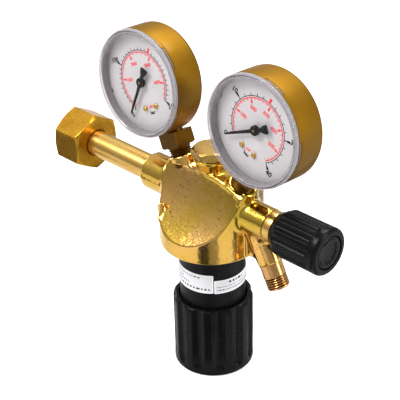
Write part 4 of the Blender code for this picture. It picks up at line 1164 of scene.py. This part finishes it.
def floor_card(name, start, end, near, far, skin):
    """A wedge just above the floor; its angles run from -Y towards +X, in degrees."""
    outline = [(x, -y) for x, y in band(near, far, start, end, 8)]
    place = Matrix.Translation((BODY_X * MM, 0, (FLOOR_Z + 0.6) * MM))
    mirrored_only(stage_plane(name, outline, place, skin))


def facing(position, target):
    """A place at position whose local -Z looks at target."""
    turn = (target - position).to_track_quat("-Z", "Y").to_matrix().to_4x4()
    return Matrix.Translation(position) @ turn


def direction(azimuth, elevation):
    """A unit vector out of the body: azimuth from -Y towards +X, in degrees."""
    a, e = math.radians(azimuth), math.radians(elevation)
    return Vector((math.sin(a) * math.cos(e), -math.cos(a) * math.cos(e), math.sin(e)))


def soft_box(name, azimuth, elevation, distance, size, power):
    light = bpy.data.lights.new(name, "AREA")
    light.shape = "RECTANGLE"
    light.size, light.size_y = size
    light.energy = power
    hub = Vector((BODY_X * MM, 0, 0.01))
    obj = add(name, light, facing(hub + distance * direction(azimuth, elevation), hub))
    obj.visible_camera = False


def build_studio():
    """A white floor and a grey sky, with dark cards that show only in the gloss, and four soft boxes."""
    bpy.context.scene.view_settings.view_transform = "Standard"
    square = [(-3, -3), (3, -3), (3, 3), (-3, 3)]
    stage_plane("floor", square, Matrix.Translation((BODY_X * MM, 0, (FLOOR_Z - 0.2) * MM)),
                plain("floor_paper", (0.93, 0.93, 0.93), 0.22))
    dark, dim = plain("dark_card", (0.004, 0.004, 0.004)), plain("dim_card", (0.16, 0.16, 0.16))
    disc = [(0.9 * math.cos(a), 0.9 * math.sin(a)) for a in steps_between(0, 2 * math.pi, 48)[:-1]]
    tone = Matrix.Translation((BODY_X * MM, 0, (FLOOR_Z + 0.2) * MM))
    mirrored_only(stage_plane("floor_tone", disc, tone, plain("tone_card", (0.52, 0.52, 0.52))))
    wedges = ((16, 38, 35, 420, dark), (38, 56, 35, 420, dim), (88, 100, 35, 420, dark),
              (150, 168, 35, 420, dark), (168, 190, 35, 420, dim), (232, 250, 35, 420, dark),
              (284, 310, 215, 420, dark))
    for k, (start, end, near, far, skin) in enumerate(wedges):
        floor_card("floor_card_%d" % k, start, end, near * MM, far * MM, skin)
    world = bpy.data.worlds.new("studio")
    bpy.context.scene.world = world
    sky = Looks(world, "Background", Strength=0.75)
    height = sky.grow("SeparateXYZ", "Z", {"Vector": sky.grow("TexCoord", "Generated")})
    greys = [(0.0, (0.34, 0.34, 0.34)), (0.30, (0.52, 0.52, 0.52)), (0.7, (0.95, 0.95, 0.95))]
    sky.wear("Color", sky.ramp(height, greys))
    soft_box("key", -27, 54, 0.9, (0.40, 0.30), 8)
    soft_box("right", 112, 22, 0.9, (0.22, 0.7), 3.5)
    soft_box("back", 190, 62, 0.9, (0.7, 0.4), 9)
    soft_box("left", -95, 6, 0.9, (0.22, 0.45), 3)


def build_camera():
    """The photograph's view: 45 degrees to the right of the front, 31 degrees above."""
    azimuth, elevation, roll = 44.87, 31.03, math.radians(-1.48)
    target, distance = Vector((97.04, 0, -5.78)) * MM, 716.49 * MM
    back = direction(azimuth, elevation)
    level = direction(azimuth + 90, 0)
    up = back.cross(level)
    right = math.cos(roll) * level + math.sin(roll) * up
    top = math.cos(roll) * up - math.sin(roll) * level
    camera = bpy.data.cameras.new("camera")
    camera.lens, camera.sensor_width = 112.0, 36.0
    turn = Matrix((right, top, back)).transposed().to_4x4()
    place = Matrix.Translation(target + distance * back) @ turn
    bpy.context.scene.camera = add("camera", camera, place)


dress_cad_nodes()
build_body()
build_inlet()
build_nut()
build_plug()
build_housing()
build_labels()
build_adjusting_knob()
build_outlet_valve()
build_gauges()
build_studio()
build_camera()
